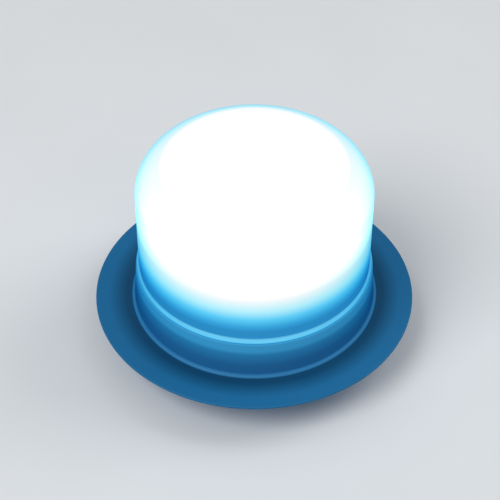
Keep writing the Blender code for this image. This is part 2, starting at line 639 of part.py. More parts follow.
def build_button(rubber, switch, plunger):
    """The power button, the switch above it and the plunger between them, which moves with the button."""
    axis = add_axis("button_axis", (*BUTTON_PLACE, COVER_TOP))
    face = COVER_BOTTOM + BUTTON_RECESS - COVER_TOP
    rim_bottom = SEAT_GAP
    rim_top = rim_bottom + BUTTON_RIM_HEIGHT
    rim = BUTTON_RADIUS + BUTTON_RIM
    plunger_tip = SWITCH_BOTTOM - PLUNGER_REACH - COVER_TOP
    stem_top = plunger_tip - SOLDER_GAP
    profile = [
        (0.0, stem_top),
        (BUTTON_STEM_RADIUS, stem_top),
        (BUTTON_STEM_RADIUS, rim_top),
        (rim, rim_top),
        (rim, rim_bottom),
        (BUTTON_RADIUS, rim_bottom),
        *arc((BUTTON_RADIUS - BUTTON_ROUND, face + BUTTON_ROUND), BUTTON_ROUND, 0, -90, EDGE_STEPS),
        (0.0, face),
    ]
    add_part("power_button", turned(profile), rubber, parent=axis)
    plunger_length = PLUNGER_REACH + PLUNGER_DEPTH
    add_part("switch_plunger", cylinder(PLUNGER_RADIUS, plunger_length), plunger, (0.0, 0.0, plunger_tip),
             parent=axis)
    switch_size = (SWITCH_WIDTH, SWITCH_WIDTH, SWITCH_HEIGHT)
    body = add_part("power_switch", block(switch_size, SWITCH_ROUND), switch, (*BUTTON_PLACE, SWITCH_BOTTOM))
    bore_depth = PLUNGER_DEPTH + BUTTON_TRAVEL + SLIDE_GAP
    bore = cylinder(PLUNGER_RADIUS + SLIDE_GAP, bore_depth + OVERSHOOT)
    cut(body, bore, (*BUTTON_PLACE, SWITCH_BOTTOM - OVERSHOOT))


def build_status_light(emitter, clear):
    """A small light under the control board and the clear pipe that brings it out through the cover."""
    size = (STATUS_LED_LENGTH, STATUS_LED_WIDTH, STATUS_LED_HEIGHT)
    level = BOARD_BOTTOM - SOLDER_GAP - STATUS_LED_HEIGHT
    add_part("status_led", block(size, STATUS_LED_ROUND), emitter, (*status_place(), level))
    rim = LIGHT_PIPE_RADIUS + LIGHT_PIPE_RIM
    rim_bottom = COVER_TOP + SEAT_GAP
    rim_top = rim_bottom + LIGHT_PIPE_RIM_HEIGHT
    top = level - SEAT_GAP
    profile = [
        (0.0, top),
        (LIGHT_PIPE_RADIUS, top),
        (LIGHT_PIPE_RADIUS, rim_top),
        (rim, rim_top),
        (rim, rim_bottom),
        (LIGHT_PIPE_RADIUS, rim_bottom),
        (LIGHT_PIPE_RADIUS, COVER_BOTTOM),
        (0.0, COVER_BOTTOM),
    ]
    add_part("status_light_pipe", turned(profile), clear, (*status_place(), 0.0))


def build_charge_socket(metal, tongue):
    """The socket under the control board's rear edge, with its mouth in the port."""
    back = MOUTH - SOCKET_DEPTH
    place = (0.0, MOUTH - SOCKET_DEPTH / 2, PORT_LEVEL)
    shell = add_part("charge_socket", slot_bar(SOCKET_WIDTH, SOCKET_HEIGHT, SOCKET_DEPTH), metal, place)
    pocket_depth = SOCKET_DEPTH - SOCKET_BACK + OVERSHOOT
    pocket = slot_bar(SOCKET_WIDTH - 2 * SOCKET_WALL, SOCKET_HEIGHT - 2 * SOCKET_WALL, pocket_depth)
    cut(shell, pocket, (0.0, back + SOCKET_BACK + pocket_depth / 2, PORT_LEVEL))
    tongue_middle = back + SOCKET_BACK + SOLDER_GAP + TONGUE_DEPTH / 2
    tongue_size = (TONGUE_WIDTH, TONGUE_DEPTH, TONGUE_THICKNESS)
    add_part("socket_tongue", block(tongue_size, TONGUE_ROUND), tongue,
             (0.0, tongue_middle, PORT_LEVEL - TONGUE_THICKNESS / 2))


def build_port_cover(plastic, rubber):
    """The hinged cover over the charging port, and the plug on its inner face. Both turn on the pin."""
    hinge = add_axis("port_hinge", (HINGE_X, HINGE_Y, PORT_LEVEL))
    back = PORT_COVER_BACK - HINGE_Y
    middle = back + PORT_COVER_THICKNESS / 2
    front = back + PORT_COVER_THICKNESS
    bottom = -PORT_COVER_HEIGHT / 2
    near_edge = -HINGE_X - PORT_COVER_WIDTH / 2
    far_edge = -HINGE_X + PORT_COVER_WIDTH / 2
    plate = block((PORT_COVER_WIDTH, PORT_COVER_THICKNESS, PORT_COVER_HEIGHT), PORT_COVER_ROUND)
    cover = add_part("port_cover", plate, plastic, (-HINGE_X, middle, bottom), parent=hinge)
    axis = Vector((HINGE_X, HINGE_Y, PORT_LEVEL))
    grip_depth = PORT_COVER_THICKNESS / 2 + PORT_GRIP_PROUD
    grip = block((PORT_GRIP_WIDTH, grip_depth, PORT_HEIGHT), PORT_COVER_ROUND / 2)
    grip_x = far_edge - PORT_COVER_ROUND - PORT_GRIP_WIDTH / 2
    join(cover, grip, axis + Vector((grip_x, middle + grip_depth / 2, -PORT_HEIGHT / 2)))
    web_length = near_edge + PORT_COVER_ROUND + BITE
    web_depth = PORT_COVER_THICKNESS - 2 * PORT_COVER_ROUND
    web = block((web_length, web_depth, KNUCKLE_HEIGHT - BITE))
    join(cover, web, axis + Vector((web_length / 2, middle, BITE / 2 - KNUCKLE_HEIGHT / 2)))
    join(cover, cylinder(KNUCKLE_RADIUS, KNUCKLE_HEIGHT), axis + Vector((0.0, 0.0, -KNUCKLE_HEIGHT / 2)))
    bore = cylinder(PIN_RADIUS + PIN_GAP, KNUCKLE_HEIGHT + 2 * OVERSHOOT)
    cut(cover, bore, axis + Vector((0.0, 0.0, -KNUCKLE_HEIGHT / 2 - OVERSHOOT)))
    inside = SOCKET_WALL + PLUG_MARGIN
    plug_back = back - SOLDER_GAP
    plug_depth = plug_back + HINGE_Y - MOUTH + PLUG_REACH
    plug = slot_bar(SOCKET_WIDTH - 2 * inside, SOCKET_HEIGHT - 2 * inside, plug_depth)
    add_part("port_plug", plug, rubber, (-HINGE_X, plug_back - plug_depth / 2, 0.0), parent=hinge)


def build_cells(material):
    """Two cells side by side along X, with their nubs at +X."""
    half = CELL_LENGTH / 2
    shoulder = CELL_RADIUS - CELL_ROUND
    profile = [
        (0.0, half + CELL_NUB_HEIGHT),
        (CELL_NUB_RADIUS, half + CELL_NUB_HEIGHT),
        (CELL_NUB_RADIUS, half),
        *arc((shoulder, half - CELL_ROUND), CELL_ROUND, 90, 0, EDGE_STEPS),
        *arc((shoulder, CELL_ROUND - half), CELL_ROUND, 0, -90, EDGE_STEPS),
        (0.0, -half),
    ]
    cell = turned(profile, CELL_STEPS)
    for name, side in (("battery_cell_front", -1), ("battery_cell_rear", 1)):
        add_part(name, cell, material, (0.0, side * CELL_OFFSET, CELL_LEVEL), (0.0, math.pi / 2, 0.0))


def link_faces():
    """The inner face of each link along X: past the nubs at +X, at the bare ends at -X."""
    return ((1, LINK_INNER + CELL_NUB_HEIGHT), (-1, LINK_INNER))


def build_cell_links(material):
    """A thin strip across the two cells at each end."""
    width = 2 * (CELL_OFFSET + LINK_OVERHANG)
    strip = block((LINK_THICKNESS, width, LINK_HEIGHT))
    for (side, inner), name in zip(link_faces(), ("cell_link_plus", "cell_link_minus")):
        place = (side * (inner + LINK_THICKNESS / 2), 0.0, CELL_LEVEL - LINK_HEIGHT / 2)
        add_part(name, strip, material, place)


def build_cell_holder(material):
    """The tray under the cells: a plate, two cross bars out to the posts, saddles and end stops."""
    half_width = CELL_OFFSET + CELL_RADIUS
    stops = [(side, inner + LINK_THICKNESS + SEAT_GAP) for side, inner in link_faces()]
    reach_plus = stops[0][1] + END_STOP_THICKNESS
    reach_minus = stops[1][1] + END_STOP_THICKNESS
    plate = block((reach_plus + reach_minus, 2 * half_width, HOLDER_PLATE), HOLDER_BAR, along=2)
    holder = add_part("cell_holder", plate, material, ((reach_plus - reach_minus) / 2, 0.0, HOLDER_BOTTOM))
    post_x, post_y = POST_PLACES[0]
    bar = block((HOLDER_BAR, 2 * post_y, HOLDER_PLATE - BITE))
    saddle = block((SADDLE_THICKNESS, 2 * half_width - HOLDER_BAR, SADDLE_HEIGHT + BITE))
    for x in (post_x, -post_x):
        join(holder, bar, (x, 0.0, HOLDER_BOTTOM + BITE / 2))
        join(holder, saddle, (x, 0.0, HOLDER_TOP - BITE))
    ear = cylinder(BOSS_RADIUS, HOLDER_PLATE)
    hole = cylinder(COVER_SCREW_RADIUS + SCREW_GAP, HOLDER_PLATE + 2 * OVERSHOOT)
    for x, y in POST_PLACES:
        join(holder, ear, (x, y, HOLDER_BOTTOM))
        cut(holder, hole, (x, y, HOLDER_BOTTOM - OVERSHOOT))
    stop = block((END_STOP_THICKNESS, END_STOP_WIDTH, END_STOP_HEIGHT + BITE))
    for side, inner in stops:
        for y in (CELL_OFFSET, -CELL_OFFSET):
            join(holder, stop, (side * (inner + END_STOP_THICKNESS / 2), y, HOLDER_TOP - BITE))
    trough = cylinder(CELL_RADIUS + SEAT_GAP, CELL_LENGTH, CELL_STEPS)
    for y in (CELL_OFFSET, -CELL_OFFSET):
        cut(holder, trough, (-CELL_LENGTH / 2, y, CELL_LEVEL), (0.0, math.pi / 2, 0.0))


def build_led_carrier(material):
    """The plate that carries the light board, on four posts over the shell's bosses."""
    carrier = add_part("led_carrier", cylinder(CARRIER_RADIUS, CARRIER_PLATE, BODY_STEPS), material,
                       (0.0, 0.0, CARRIER_BOTTOM))
    post = cylinder(POST_RADIUS, CARRIER_BOTTOM + BITE - POST_BOTTOM)
    screw_tip = COVER_BOTTOM + COVER_SCREW_HEAD_HEIGHT + COVER_SCREW_LENGTH
    lower_height = screw_tip + SCREW_HOLE_SPARE - POST_BOTTOM + OVERSHOOT
    lower_hole = cylinder(COVER_SCREW_RADIUS + SCREW_GAP, lower_height)
    upper_bottom = LED_BOARD_TOP + SEAT_GAP - LED_SCREW_LENGTH - SCREW_HOLE_SPARE
    upper_hole = cylinder(LED_SCREW_RADIUS + SCREW_GAP, CARRIER_TOP + OVERSHOOT - upper_bottom)
    for x, y in POST_PLACES:
        join(carrier, post, (x, y, POST_BOTTOM))
    for x, y in POST_PLACES:
        cut(carrier, lower_hole, (x, y, POST_BOTTOM - OVERSHOOT))
        cut(carrier, upper_hole, (x, y, upper_bottom))
    cut_notch(carrier, CARRIER_BOTTOM, CARRIER_TOP)


def cut_notch(part, bottom, top):
    """The opening at the front edge that the light board's leads come up through."""
    height = top - bottom + 2 * OVERSHOOT
    cut(part, cylinder(NOTCH_RADIUS, height), (0.0, -NOTCH_CENTRE, bottom - OVERSHOOT))


def build_led_board(material):
    board = add_part("led_board", cylinder(LED_BOARD_RADIUS, LED_BOARD_THICKNESS, BODY_STEPS), material,
                     (0.0, 0.0, LED_BOARD_BOTTOM))
    hole = cylinder(LED_SCREW_RADIUS + SCREW_GAP, LED_BOARD_THICKNESS + 2 * OVERSHOOT)
    for x, y in POST_PLACES:
        cut(board, hole, (x, y, LED_BOARD_BOTTOM - OVERSHOOT))
    cut_notch(board, LED_BOARD_BOTTOM, LED_BOARD_TOP)


def build_leds(material):
    """Two rings of light emitters on the light board."""
    emitter = block((LED_WIDTH, LED_WIDTH, LED_HEIGHT), LED_ROUND)
    number = 1
    for count, circle in ((LED_OUTER_COUNT, LED_OUTER_CIRCLE), (LED_INNER_COUNT, LED_INNER_CIRCLE)):
        for step in range(count):
            angle = 2 * math.pi * (step + 0.5) / count
            place = (circle * math.cos(angle), circle * math.sin(angle), LED_BOARD_TOP + SOLDER_GAP)
            add_part(f"led_{number:02d}", emitter, material, place, (0.0, 0.0, angle))
            number += 1


def build_led_screws(material):
    screw = screw_mesh(LED_SCREW_RADIUS, LED_SCREW_LENGTH, LED_SCREW_HEAD_RADIUS, LED_SCREW_HEAD_HEIGHT)
    for number, (x, y) in enumerate(POST_PLACES, 1):
        add_part(f"led_screw_{number}", screw, material, (x, y, LED_BOARD_TOP + SEAT_GAP))


def build_leads(red, black):
    """A lead from each link to the control board, and two from the control board up to the light board."""
    foot = BOARD_TOP + SOLDER_GAP
    for (side, inner), name, material in zip(link_faces(), ("plus", "minus"), (red, black)):
        start = inner + LINK_THICKNESS + SOLDER_GAP + LEAD_RADIUS
        outside = inner + LINK_THICKNESS + SEAT_GAP + END_STOP_THICKNESS + CELL_LEAD_DROP + LEAD_RADIUS
        add_lead(f"battery_lead_{name}", [
            (side * start, 0.0, CELL_LEVEL + LINK_HEIGHT / 2),
            (side * start, 0.0, CELL_LEVEL),
            (side * outside, 0.0, HOLDER_TOP + LEAD_END_RISE),
            (side * outside, 0.0, HOLDER_BOTTOM),
            (side * outside, 0.0, foot),
        ], material)
    rise = NOTCH_CENTRE - LEAD_RADIUS
    for side, name, material in ((1, "plus", red), (-1, "minus", black)):
        x = side * LEAD_SPACING / 2
        add_lead(f"led_lead_{name}", [
            (x, -LED_LEAD_FOOT, foot),
            (x, -LED_LEAD_FOOT, foot + LEAD_END_RISE),
            (x, -rise, CELL_LEVEL),
            (x, -rise, LED_BOARD_BOTTOM),
            (x, -rise, LED_BOARD_TOP),
            (x, -(rise + LED_LEAD_PAD) / 2, LED_BOARD_TOP + LED_LEAD_ARCH + LEAD_RADIUS),
            (x, -LED_LEAD_PAD, LED_BOARD_TOP + LEAD_END_RISE),
            (x, -LED_LEAD_PAD, LED_BOARD_TOP + SOLDER_GAP),
        ], material)


def build_cap_seal(material):
    """The soft ring between the collar and the cap."""
    bottom = COLLAR_TOP + SEAT_GAP
    top = bottom + CAP_SEAL_HEIGHT
    half = CAP_SEAL_HEIGHT / 2
    outer = CAP_RADIUS + CAP_SEAL_PROUD
    inner = SHELL_BORE + SLIDE_GAP
    profile = [
        (inner, top),
        *arc((outer - half, bottom + half), half, 90, -90, 2 * EDGE_STEPS),
        (inner, bottom),
    ]
    add_part("cap_seal", turned(profile, BODY_STEPS, ring=True), material)


def build_diffuser_cap(material):
    """The frosted cap: a cup with a rounded top, and a thinner spigot that plugs into the collar."""
    seat = 0.0
    top = CAP_HEIGHT
    inner_radius = CAP_RADIUS - CAP_WALL
    inner_round = CAP_TOP_ROUND - CAP_WALL
    round_centre = (CAP_RADIUS - CAP_TOP_ROUND, top - CAP_TOP_ROUND)
    spigot_end = seat - CAP_SPIGOT_LENGTH
    profile = [
        (0.0, top),
        *arc(round_centre, CAP_TOP_ROUND, 90, 0, ROUND_STEPS),
        (CAP_RADIUS, seat),
        (SPIGOT_RADIUS, seat),
        (SPIGOT_RADIUS, spigot_end + CAP_SPIGOT_LEAD_IN),
        (SPIGOT_RADIUS - CAP_SPIGOT_LEAD_IN, spigot_end),
        (SPIGOT_BORE, spigot_end),
        (SPIGOT_BORE, seat),
        (inner_radius, seat + CAP_WALL),
        *arc(round_centre, inner_round, 0, 90, ROUND_STEPS),
        (0.0, top - CAP_WALL),
    ]
    add_part("diffuser_cap", turned(profile, BODY_STEPS), material, (0.0, 0.0, CAP_SEAT))


def build_lamp():
    """Every piece of the lamp, from the ground up."""
    milky = finish("milky_blue_plastic", (0.05, 0.22, 0.42), 0.4)
    frosted = finish("frosted_plastic", (0.85, 0.97, 1.0), 0.45, transmission=0.3)
    clear_rubber = finish("clear_silicone", (0.45, 0.8, 0.95), 0.35)
    rubber = finish("black_rubber", (0.03, 0.03, 0.035), 0.7)
    grey = finish("grey_rubber", (0.18, 0.2, 0.22), 0.6)
    steel = finish("zinc_plated_steel", (0.62, 0.63, 0.65), 0.3, 1.0)
    nickel = finish("nickel_strip", (0.66, 0.63, 0.57), 0.28, 1.0)
    green = finish("green_board", (0.02, 0.16, 0.07), 0.4)
    white_board = finish("white_board", (0.85, 0.86, 0.86), 0.35)
    black = finish("black_plastic", (0.025, 0.025, 0.028), 0.45)
    white = finish("white_plastic", (0.8, 0.8, 0.78), 0.4)
    wrap = finish("cell_wrap", (0.05, 0.16, 0.42), 0.35)
    can = finish("aluminium_can", (0.72, 0.73, 0.75), 0.35, 1.0)
    emitter = finish("emitter", (0.9, 0.86, 0.55), 0.4)
    red_wire = finish("red_wire", (0.55, 0.02, 0.02), 0.45)
    black_wire = finish("black_wire", (0.02, 0.02, 0.02), 0.45)

    build_feet(rubber)
    build_bottom_cover(milky)
    build_bottom_seal(rubber)
    build_base_shell(milky)
    build_cover_screws(steel)
    build_control_board(green)
    build_board_pieces(black, black, can)
    build_button(grey, black, white)
    build_status_light(emitter, frosted)
    build_charge_socket(steel, black)
    build_hinge_pin(steel)
    build_port_cover(milky, rubber)
    build_cell_holder(white)
    build_cells(wrap)
    build_cell_links(nickel)
    build_led_carrier(white)
    build_led_board(white_board)
    build_leds(emitter)
    build_led_screws(steel)
    build_leads(red_wire, black_wire)
    build_cap_seal(clear_rubber)
    build_diffuser_cap(frosted)


clear_scene()
PARTS = new_collection("led_flare_lamp")
TOOLS = new_collection("cutters")
build_lamp()
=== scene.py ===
"""Looks of a battery LED flare lamp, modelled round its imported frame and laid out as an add-on.

Sizes and colours are properties, each piece or group of like pieces has an operator, and a panel in the 3D
view's sidebar lists them. Metres, +Z up, in the frame's own coordinates.
"""

import json
import math

import bmesh
import bpy
from bpy.props import FloatProperty, FloatVectorProperty, PointerProperty
from mathutils import Color, Matrix, Vector


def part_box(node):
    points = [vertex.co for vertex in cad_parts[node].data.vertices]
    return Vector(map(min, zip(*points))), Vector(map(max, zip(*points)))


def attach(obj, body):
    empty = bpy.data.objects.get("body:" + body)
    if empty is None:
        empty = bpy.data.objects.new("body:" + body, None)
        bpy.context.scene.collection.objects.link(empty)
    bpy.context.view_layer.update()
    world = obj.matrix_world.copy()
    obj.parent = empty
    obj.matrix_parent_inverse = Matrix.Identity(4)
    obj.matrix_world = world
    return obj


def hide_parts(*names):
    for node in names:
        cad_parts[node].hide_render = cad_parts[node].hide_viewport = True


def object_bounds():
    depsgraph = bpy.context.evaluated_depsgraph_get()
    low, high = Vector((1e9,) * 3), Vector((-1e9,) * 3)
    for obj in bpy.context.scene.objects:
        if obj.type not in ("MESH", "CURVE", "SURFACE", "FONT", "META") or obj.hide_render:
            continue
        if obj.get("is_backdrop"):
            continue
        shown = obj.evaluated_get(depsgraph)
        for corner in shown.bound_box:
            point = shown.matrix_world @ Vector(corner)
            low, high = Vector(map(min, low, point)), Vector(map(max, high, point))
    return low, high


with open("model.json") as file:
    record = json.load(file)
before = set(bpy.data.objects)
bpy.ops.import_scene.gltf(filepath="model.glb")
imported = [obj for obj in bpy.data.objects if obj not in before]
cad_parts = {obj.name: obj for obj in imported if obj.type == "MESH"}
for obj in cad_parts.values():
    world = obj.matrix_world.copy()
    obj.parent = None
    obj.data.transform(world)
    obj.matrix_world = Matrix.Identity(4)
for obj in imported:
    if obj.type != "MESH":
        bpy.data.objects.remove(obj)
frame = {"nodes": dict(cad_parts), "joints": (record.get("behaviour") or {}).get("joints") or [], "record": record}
CAD_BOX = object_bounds()

bl_info = {
    "name": "LED Flare Lamp",
    "version": (1, 0, 0),
    "blender": (4, 5, 0),
    "location": "View3D > Sidebar > Flare Lamp",
    "description": "Models the looks of a battery LED flare lamp round its frame",
    "category": "Object",
}

MM = 0.001
ORIGIN = (0.0, 0.0, 0.0)
EVEN = (1.0, 1.0, 1.0)
SIDES = (-1, 1)
ROWS = (-1, 0, 1)
CORNERS = (1, 2, 3, 4)  # the numbers of four like pieces

# Facets and fits
BODY_STEPS = 180
SMALL_STEPS = 48
TINY_STEPS = 24
ARC_STEP = math.radians(7.5)
SHARP_ANGLE = math.radians(32.0)  # faces that meet at more than this are shaded apart
MERGE = 0.001 * MM  # points nearer to each other than this become one
PAST = 1.0 * MM  # how far a cutter runs past the face that it opens
BITE = 0.4 * MM  # how far a joined shape reaches into what it grows from
OFF_GRID = math.radians(4.1)  # turns round cutters, so that their corners miss the edges that they cut
FINE_ROUND = 0.1 * MM  # rounding of a small edge
WEB_ROUND = 0.15 * MM  # rounding of a web or a rib
BOSS_ROUND = 0.2 * MM  # rounding of a boss, a post or a knuckle
SOFT_ROOM = 0.06 * MM  # between squeezed rubber and its seat


# What the frame says

def low(node):
    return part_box(node)[0]


def high(node):
    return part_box(node)[1]


def middle(node):
    return (low(node) + high(node)) / 2


def extent(node):
    return high(node) - low(node)


def corner_places(node):
    return [middle(f"{node}_{number}") for number in CORNERS]


MOUNTS = {mount["name"]: Vector(mount["pos_m"]) for mount in frame["record"]["mounts"]}
JOINTS = {joint["name"]: joint for joint in frame["joints"]}
FLANGE_TOP = MOUNTS["flange_top"].z
FLANGE_BOTTOM = MOUNTS["flange_underside"].z
FLANGE_RADIUS = high("base_shell").x
CAP_RADIUS = high("diffuser_cap").x
CAP_TOP = high("diffuser_cap").z
CAP_END = low("diffuser_cap").z
COLLAR_TOP = high("base_shell").z
SHELL_BOTTOM = low("base_shell").z
HOUSING_RADIUS = high("bottom_cover").x
COVER_BOTTOM = low("bottom_cover").z
BOARD_TOP = high("control_board").z
LIGHT_BOARD_TOP = high("led_board").z
LIGHT_BOARD_RADIUS = extent("led_board").x / 2
HINGE = Vector(JOINTS["port_cover_swing"]["pos_m"])
POSTS = corner_places("led_screw")
LED_NAMES = [f"led_{number:02d}" for number in range(1, 13)]
LED_RINGS = sorted({round(middle(node).xy.length, 5) for node in LED_NAMES})

# Fine detail that the frame doesn't give
PIN_HOLE = 0.85 * MM  # radius of the hole for the hinge's pin
PIN_ROOM = 0.95 * MM  # from the hinge's axis to what joins a knuckle, clear of the hole
KNUCKLE_HALF = 2.2 * MM  # half the height of the cover's knuckle
COVER_SHANK = 1.5 * MM  # radius of a cover screw
LED_SHANK = 1.2 * MM  # radius of a light board screw
HEAD_HEIGHT = 1.5 * MM
THREAD_PITCH = 0.6 * MM
THREAD_DEPTH = 0.25 * MM
BUTTON_RADIUS = extent("power_button").x / 2 - 1.4 * MM  # of its face, inside its rim
PIPE_RADIUS = extent("status_light_pipe").x / 2 - 0.8 * MM  # of its shaft, inside its rim
PAD_RADIUS = 2.9 * MM  # of the bare metal round a screw's hole
FILM = 0.05 * MM  # thickness of bare metal on a board
EMITTER_WIDTH = 5.0 * MM
TERMINAL_PITCH = 1.6 * MM
WIRE_RISE = 2.0 * MM  # a wire leaves a board square to it for this length


# Sizes and colours that a user would change

def length(name, description, millimetres):
    return FloatProperty(
        name=name, description=description, default=millimetres * MM, min=0.0, precision=5, unit="LENGTH"
    )


def factor(name, description, default, most=1.0):
    return FloatProperty(
        name=name, description=description, default=default, min=0.0, max=most, subtype="FACTOR"
    )


def power(name, description, watts):
    return FloatProperty(name=name, description=description, default=watts, min=0.0, unit="POWER")


def tint(name, description, red, green, blue):
    return FloatVectorProperty(
        name=name, description=description, size=3, min=0.0, max=1.0, subtype="COLOR_GAMMA",
        default=(red / 255, green / 255, blue / 255),
    )


class FlareLampSizes(bpy.types.PropertyGroup):
    """Sizes that the pieces' own boxes in the frame don't give"""

    seat_gap: length("Seat gap", "Between two pieces that rest on each other", 0.3)
    edge_round: length("Edge rounding", "Of a moulded edge", 0.3)
    cap_round: length("Cap rounding", "Radius of the cap's top edge", 11.8)
    cap_wall: length("Cap wall", "Thickness of the cap", 2.0)
    cap_ledge: length("Cap ledge", "From the cap's side in to its spigot", 2.0)
    spigot_wall: length("Spigot wall", "Thickness of the cap's spigot", 1.6)
    ring_round: length("Ring rounding", "Of the soft ring's outer edges", 0.45)
    ring_lip: length("Ring lip", "Height of the soft ring's lip round the cap's foot", 0.6)
    bore_inset: length("Bore inset", "From the cap's side in to the shell's bore", 1.7)
    collar_step: length("Collar step", "The collar's top edge past the cap's side", 1.2)
    collar_flare: length("Collar flare", "The collar's foot past its top edge", 1.0)
    bead: length("Bead", "Radius of the quarter-round bead at the collar's foot", 1.1)
    flange_round: length("Flange rounding", "Radius of the flange's rim", 0.5)
    boss_radius: length("Boss radius", "Of the bosses that the screws pass", 3.3)
    boss_rib: length("Boss rib", "Width of the rib behind a boss", 2.4)
    screw_gap: length("Screw gap", "Round a screw's shank", 0.2)
    cover_spigot: length("Cover spigot", "Wall of the bottom cover's spigot", 2.0)
    cover_plate: length("Cover plate", "Thickness of the bottom cover", 2.4)
    port_flat: length("Port flat", "Depth of the flat round the charging port", 0.6)
    port_margin: length("Port margin", "The port's hole past the socket", 0.35)
    socket_wall: length("Socket wall", "Thickness of the charging socket's shell", 0.35)
    knuckle: length("Knuckle radius", "Of the port cover's hinge", 1.5)
    notch: length("Notch radius", "Of the opening that the light board's leads pass", 3.4)
    notch_inset: length("Notch inset", "The notch's centre from the light board's rim", 1.5)
    post_radius: length("Post radius", "Of the light carrier's posts", 3.2)
    lead_radius: length("Lead radius", "Of a wire with its insulation", 0.75)
    led_window: length("Emitter window", "Radius of the window in an emitter", 2.05)


class FlareLampColours(bpy.types.PropertyGroup):
    """Colours as they are seen"""

    core: tint("Glow core", "The cap where it is brightest", 253, 254, 254)
    pale: tint("Pale glow", "The cap below its core", 183, 243, 255)
    cyan: tint("Cyan glow", "The cap half way down its fade", 94, 208, 250)
    blue: tint("Blue glow", "The cap's wall above its foot", 54, 166, 223)
    foot: tint("Foot glow", "The cap's foot", 42, 140, 197)
    limb: tint("Limb", "Tint of the frosted skin, which shows where it is seen at a glance", 190, 240, 250)
    # The ring's colour is painted glow: it is shown as the ring's own light, standing in for the cap's light that
    # the ring carries.
    ring: tint("Ring", "The soft ring under the cap", 107, 206, 245)
    # Painted light on the collar: lit round the cap's spigot, then a middle tone, then dark above the bead,
    # standing in for the cap's light shining down through it.
    collar_painted_glow: tint("Lit collar", "The collar round the cap's spigot", 52, 147, 199)
    collar_painted_half_glow: tint("Middle of the collar", "The collar just below the spigot", 34, 118, 171)
    collar_dark: tint("Dark collar", "The collar above its bead", 30, 94, 147)
    # The bead's lighter tone is a painted highlight on its rounded crest.
    bead: tint("Bead", "The bead at the collar's foot", 42, 116, 168)
    flange: tint("Flange", "The flange and the housing", 26, 97, 144)
    # Painted shade: the flange darker next to the bead and the housing, where the collar hides the cap's light.
    flange_painted_shade: tint("Flange's foot", "The flange next to the bead", 13, 64, 100)
    cap_skin: factor("Cap skin", "Share of the limb's tint that the cap's wall has", 0.94)
    top_skin: factor("Top skin", "Share of the limb's tint that the cap's flat top has", 0.5)
    shell_skin: factor("Shell skin", "Share of the limb's tint that the shell has", 0.95)
    core_level: factor("Core level", "Brightness of the cap's wall over its top's", 2.0, 4.0)
    glow_share: factor("Cap glow", "Share of the cap's brightness that is its own light", 0.85)
    # The shell's painted glow: this share of its colour is given as its own light.
    shell_painted_glow: factor("Shell glow", "Share of the shell's brightness that is its own light", 0.4)


class FlareLampStage(bpy.types.PropertyGroup):
    """Floor, light and camera"""

    floor: tint("Floor", "The pale floor", 214, 217, 220)
    sky_level: factor("Sky level", "Strength of the even light from all round", 0.5, 4.0)
    key_power: power("Key light", "Power of the large lamp", 11.0)
    fill_power: power("Fill light", "Power of the other lamp", 5.0)
    camera_aside: FloatProperty(
        name="Camera aside", description="To the right of the lamp's axis", default=-1.6 * MM, unit="LENGTH"
    )
    camera_back: length("Camera back", "In front of the lamp's axis", 427.2)
    camera_height: length("Camera height", "Above the floor", 436.5)
    camera_tilt: FloatProperty(
        name="Camera tilt", description="Below the level", default=math.radians(43.2), subtype="ANGLE"
    )
    lens: FloatProperty(
        name="Lens", description="Focal length on the sensor's width", default=113.5, unit="CAMERA"
    )


# Shapes

def soften(corners):
    """A profile from corners (radius, level) or, where an arc rounds them, (radius, level, rounding)."""
    places = [Vector(corner[:2]) for corner in corners]
    profile = []
    for index, (place, corner) in enumerate(zip(places, corners)):
        rounding = corner[2] if len(corner) > 2 else 0.0
        if not rounding:
            profile.append(place)
            continue
        back = (places[index - 1] - place).normalized()
        ahead = (places[(index + 1) % len(places)] - place).normalized()
        half = back.angle(ahead) / 2
        centre = place + (back + ahead).normalized() * rounding / math.sin(half)
        start = place + back * rounding / math.tan(half) - centre
        end = place + ahead * rounding / math.tan(half) - centre
        sweep = math.pi - 2 * half
        steps = max(2, round(sweep / ARC_STEP))
        for step in range(steps + 1):
            along = step / steps * sweep
            spot = (start * math.sin(sweep - along) + end * math.sin(along)) / math.sin(sweep)
            profile.append(centre + spot)
    return profile


def closed(form):
    bmesh.ops.remove_doubles(form, verts=form.verts, dist=MERGE)
    bmesh.ops.recalc_face_normals(form, faces=form.faces)
    return form


def spin(corners, steps=SMALL_STEPS, ring=False):
    """The profile of some corners turned about Z. A ring's last corner joins its first."""
    form = bmesh.new()
    points = [form.verts.new((radius, 0.0, level)) for radius, level in soften(corners)]
    pairs = list(zip(points, points[1:]))
    if ring:
        pairs.append((points[-1], points[0]))
    edges = [form.edges.new(pair) for pair in pairs]
    bmesh.ops.spin(
        form, geom=points + edges, cent=ORIGIN, axis=(0.0, 0.0, 1.0), angle=2 * math.pi, steps=steps,
        use_merge=True,
    )
    return closed(form)


def bar(radius, bottom, top, rounding=0.0, steps=SMALL_STEPS):
    """A round bar about Z with rounded rims."""
    corners = [(0.0, top), (radius, top, rounding), (radius, bottom, rounding), (0.0, bottom)]
    return move(spin(corners, steps), ORIGIN, OFF_GRID)


def bars(places, radius, bottom, top, rounding=0.0):
    """A small bar over each place."""
    return [over(place, bar(radius, bottom, top, rounding, TINY_STEPS)) for place in places]


def holes(node, radius, bottom, top):
    """A round cutter through each of four like pieces' places."""
    return bars(corner_places(node), radius, bottom - PAST, top + PAST)


def washer(inner, outer, bottom, top, rounding=0.0, steps=SMALL_STEPS):
    """A flat ring about Z."""
    corners = [(inner, top), (outer, top), (outer, bottom), (inner, bottom)]
    return spin([(*corner, rounding) for corner in corners], steps, ring=True)


def bevel(form, edges, offset, segments):
    bmesh.ops.bevel(
        form, geom=edges, offset=offset, offset_type="OFFSET", affect="EDGES", segments=segments, profile=0.5,
        material=-1,
    )


def runs_along(edge, axis):
    run = edge.verts[1].co - edge.verts[0].co
    return abs(run[axis]) > 0.9 * run.length


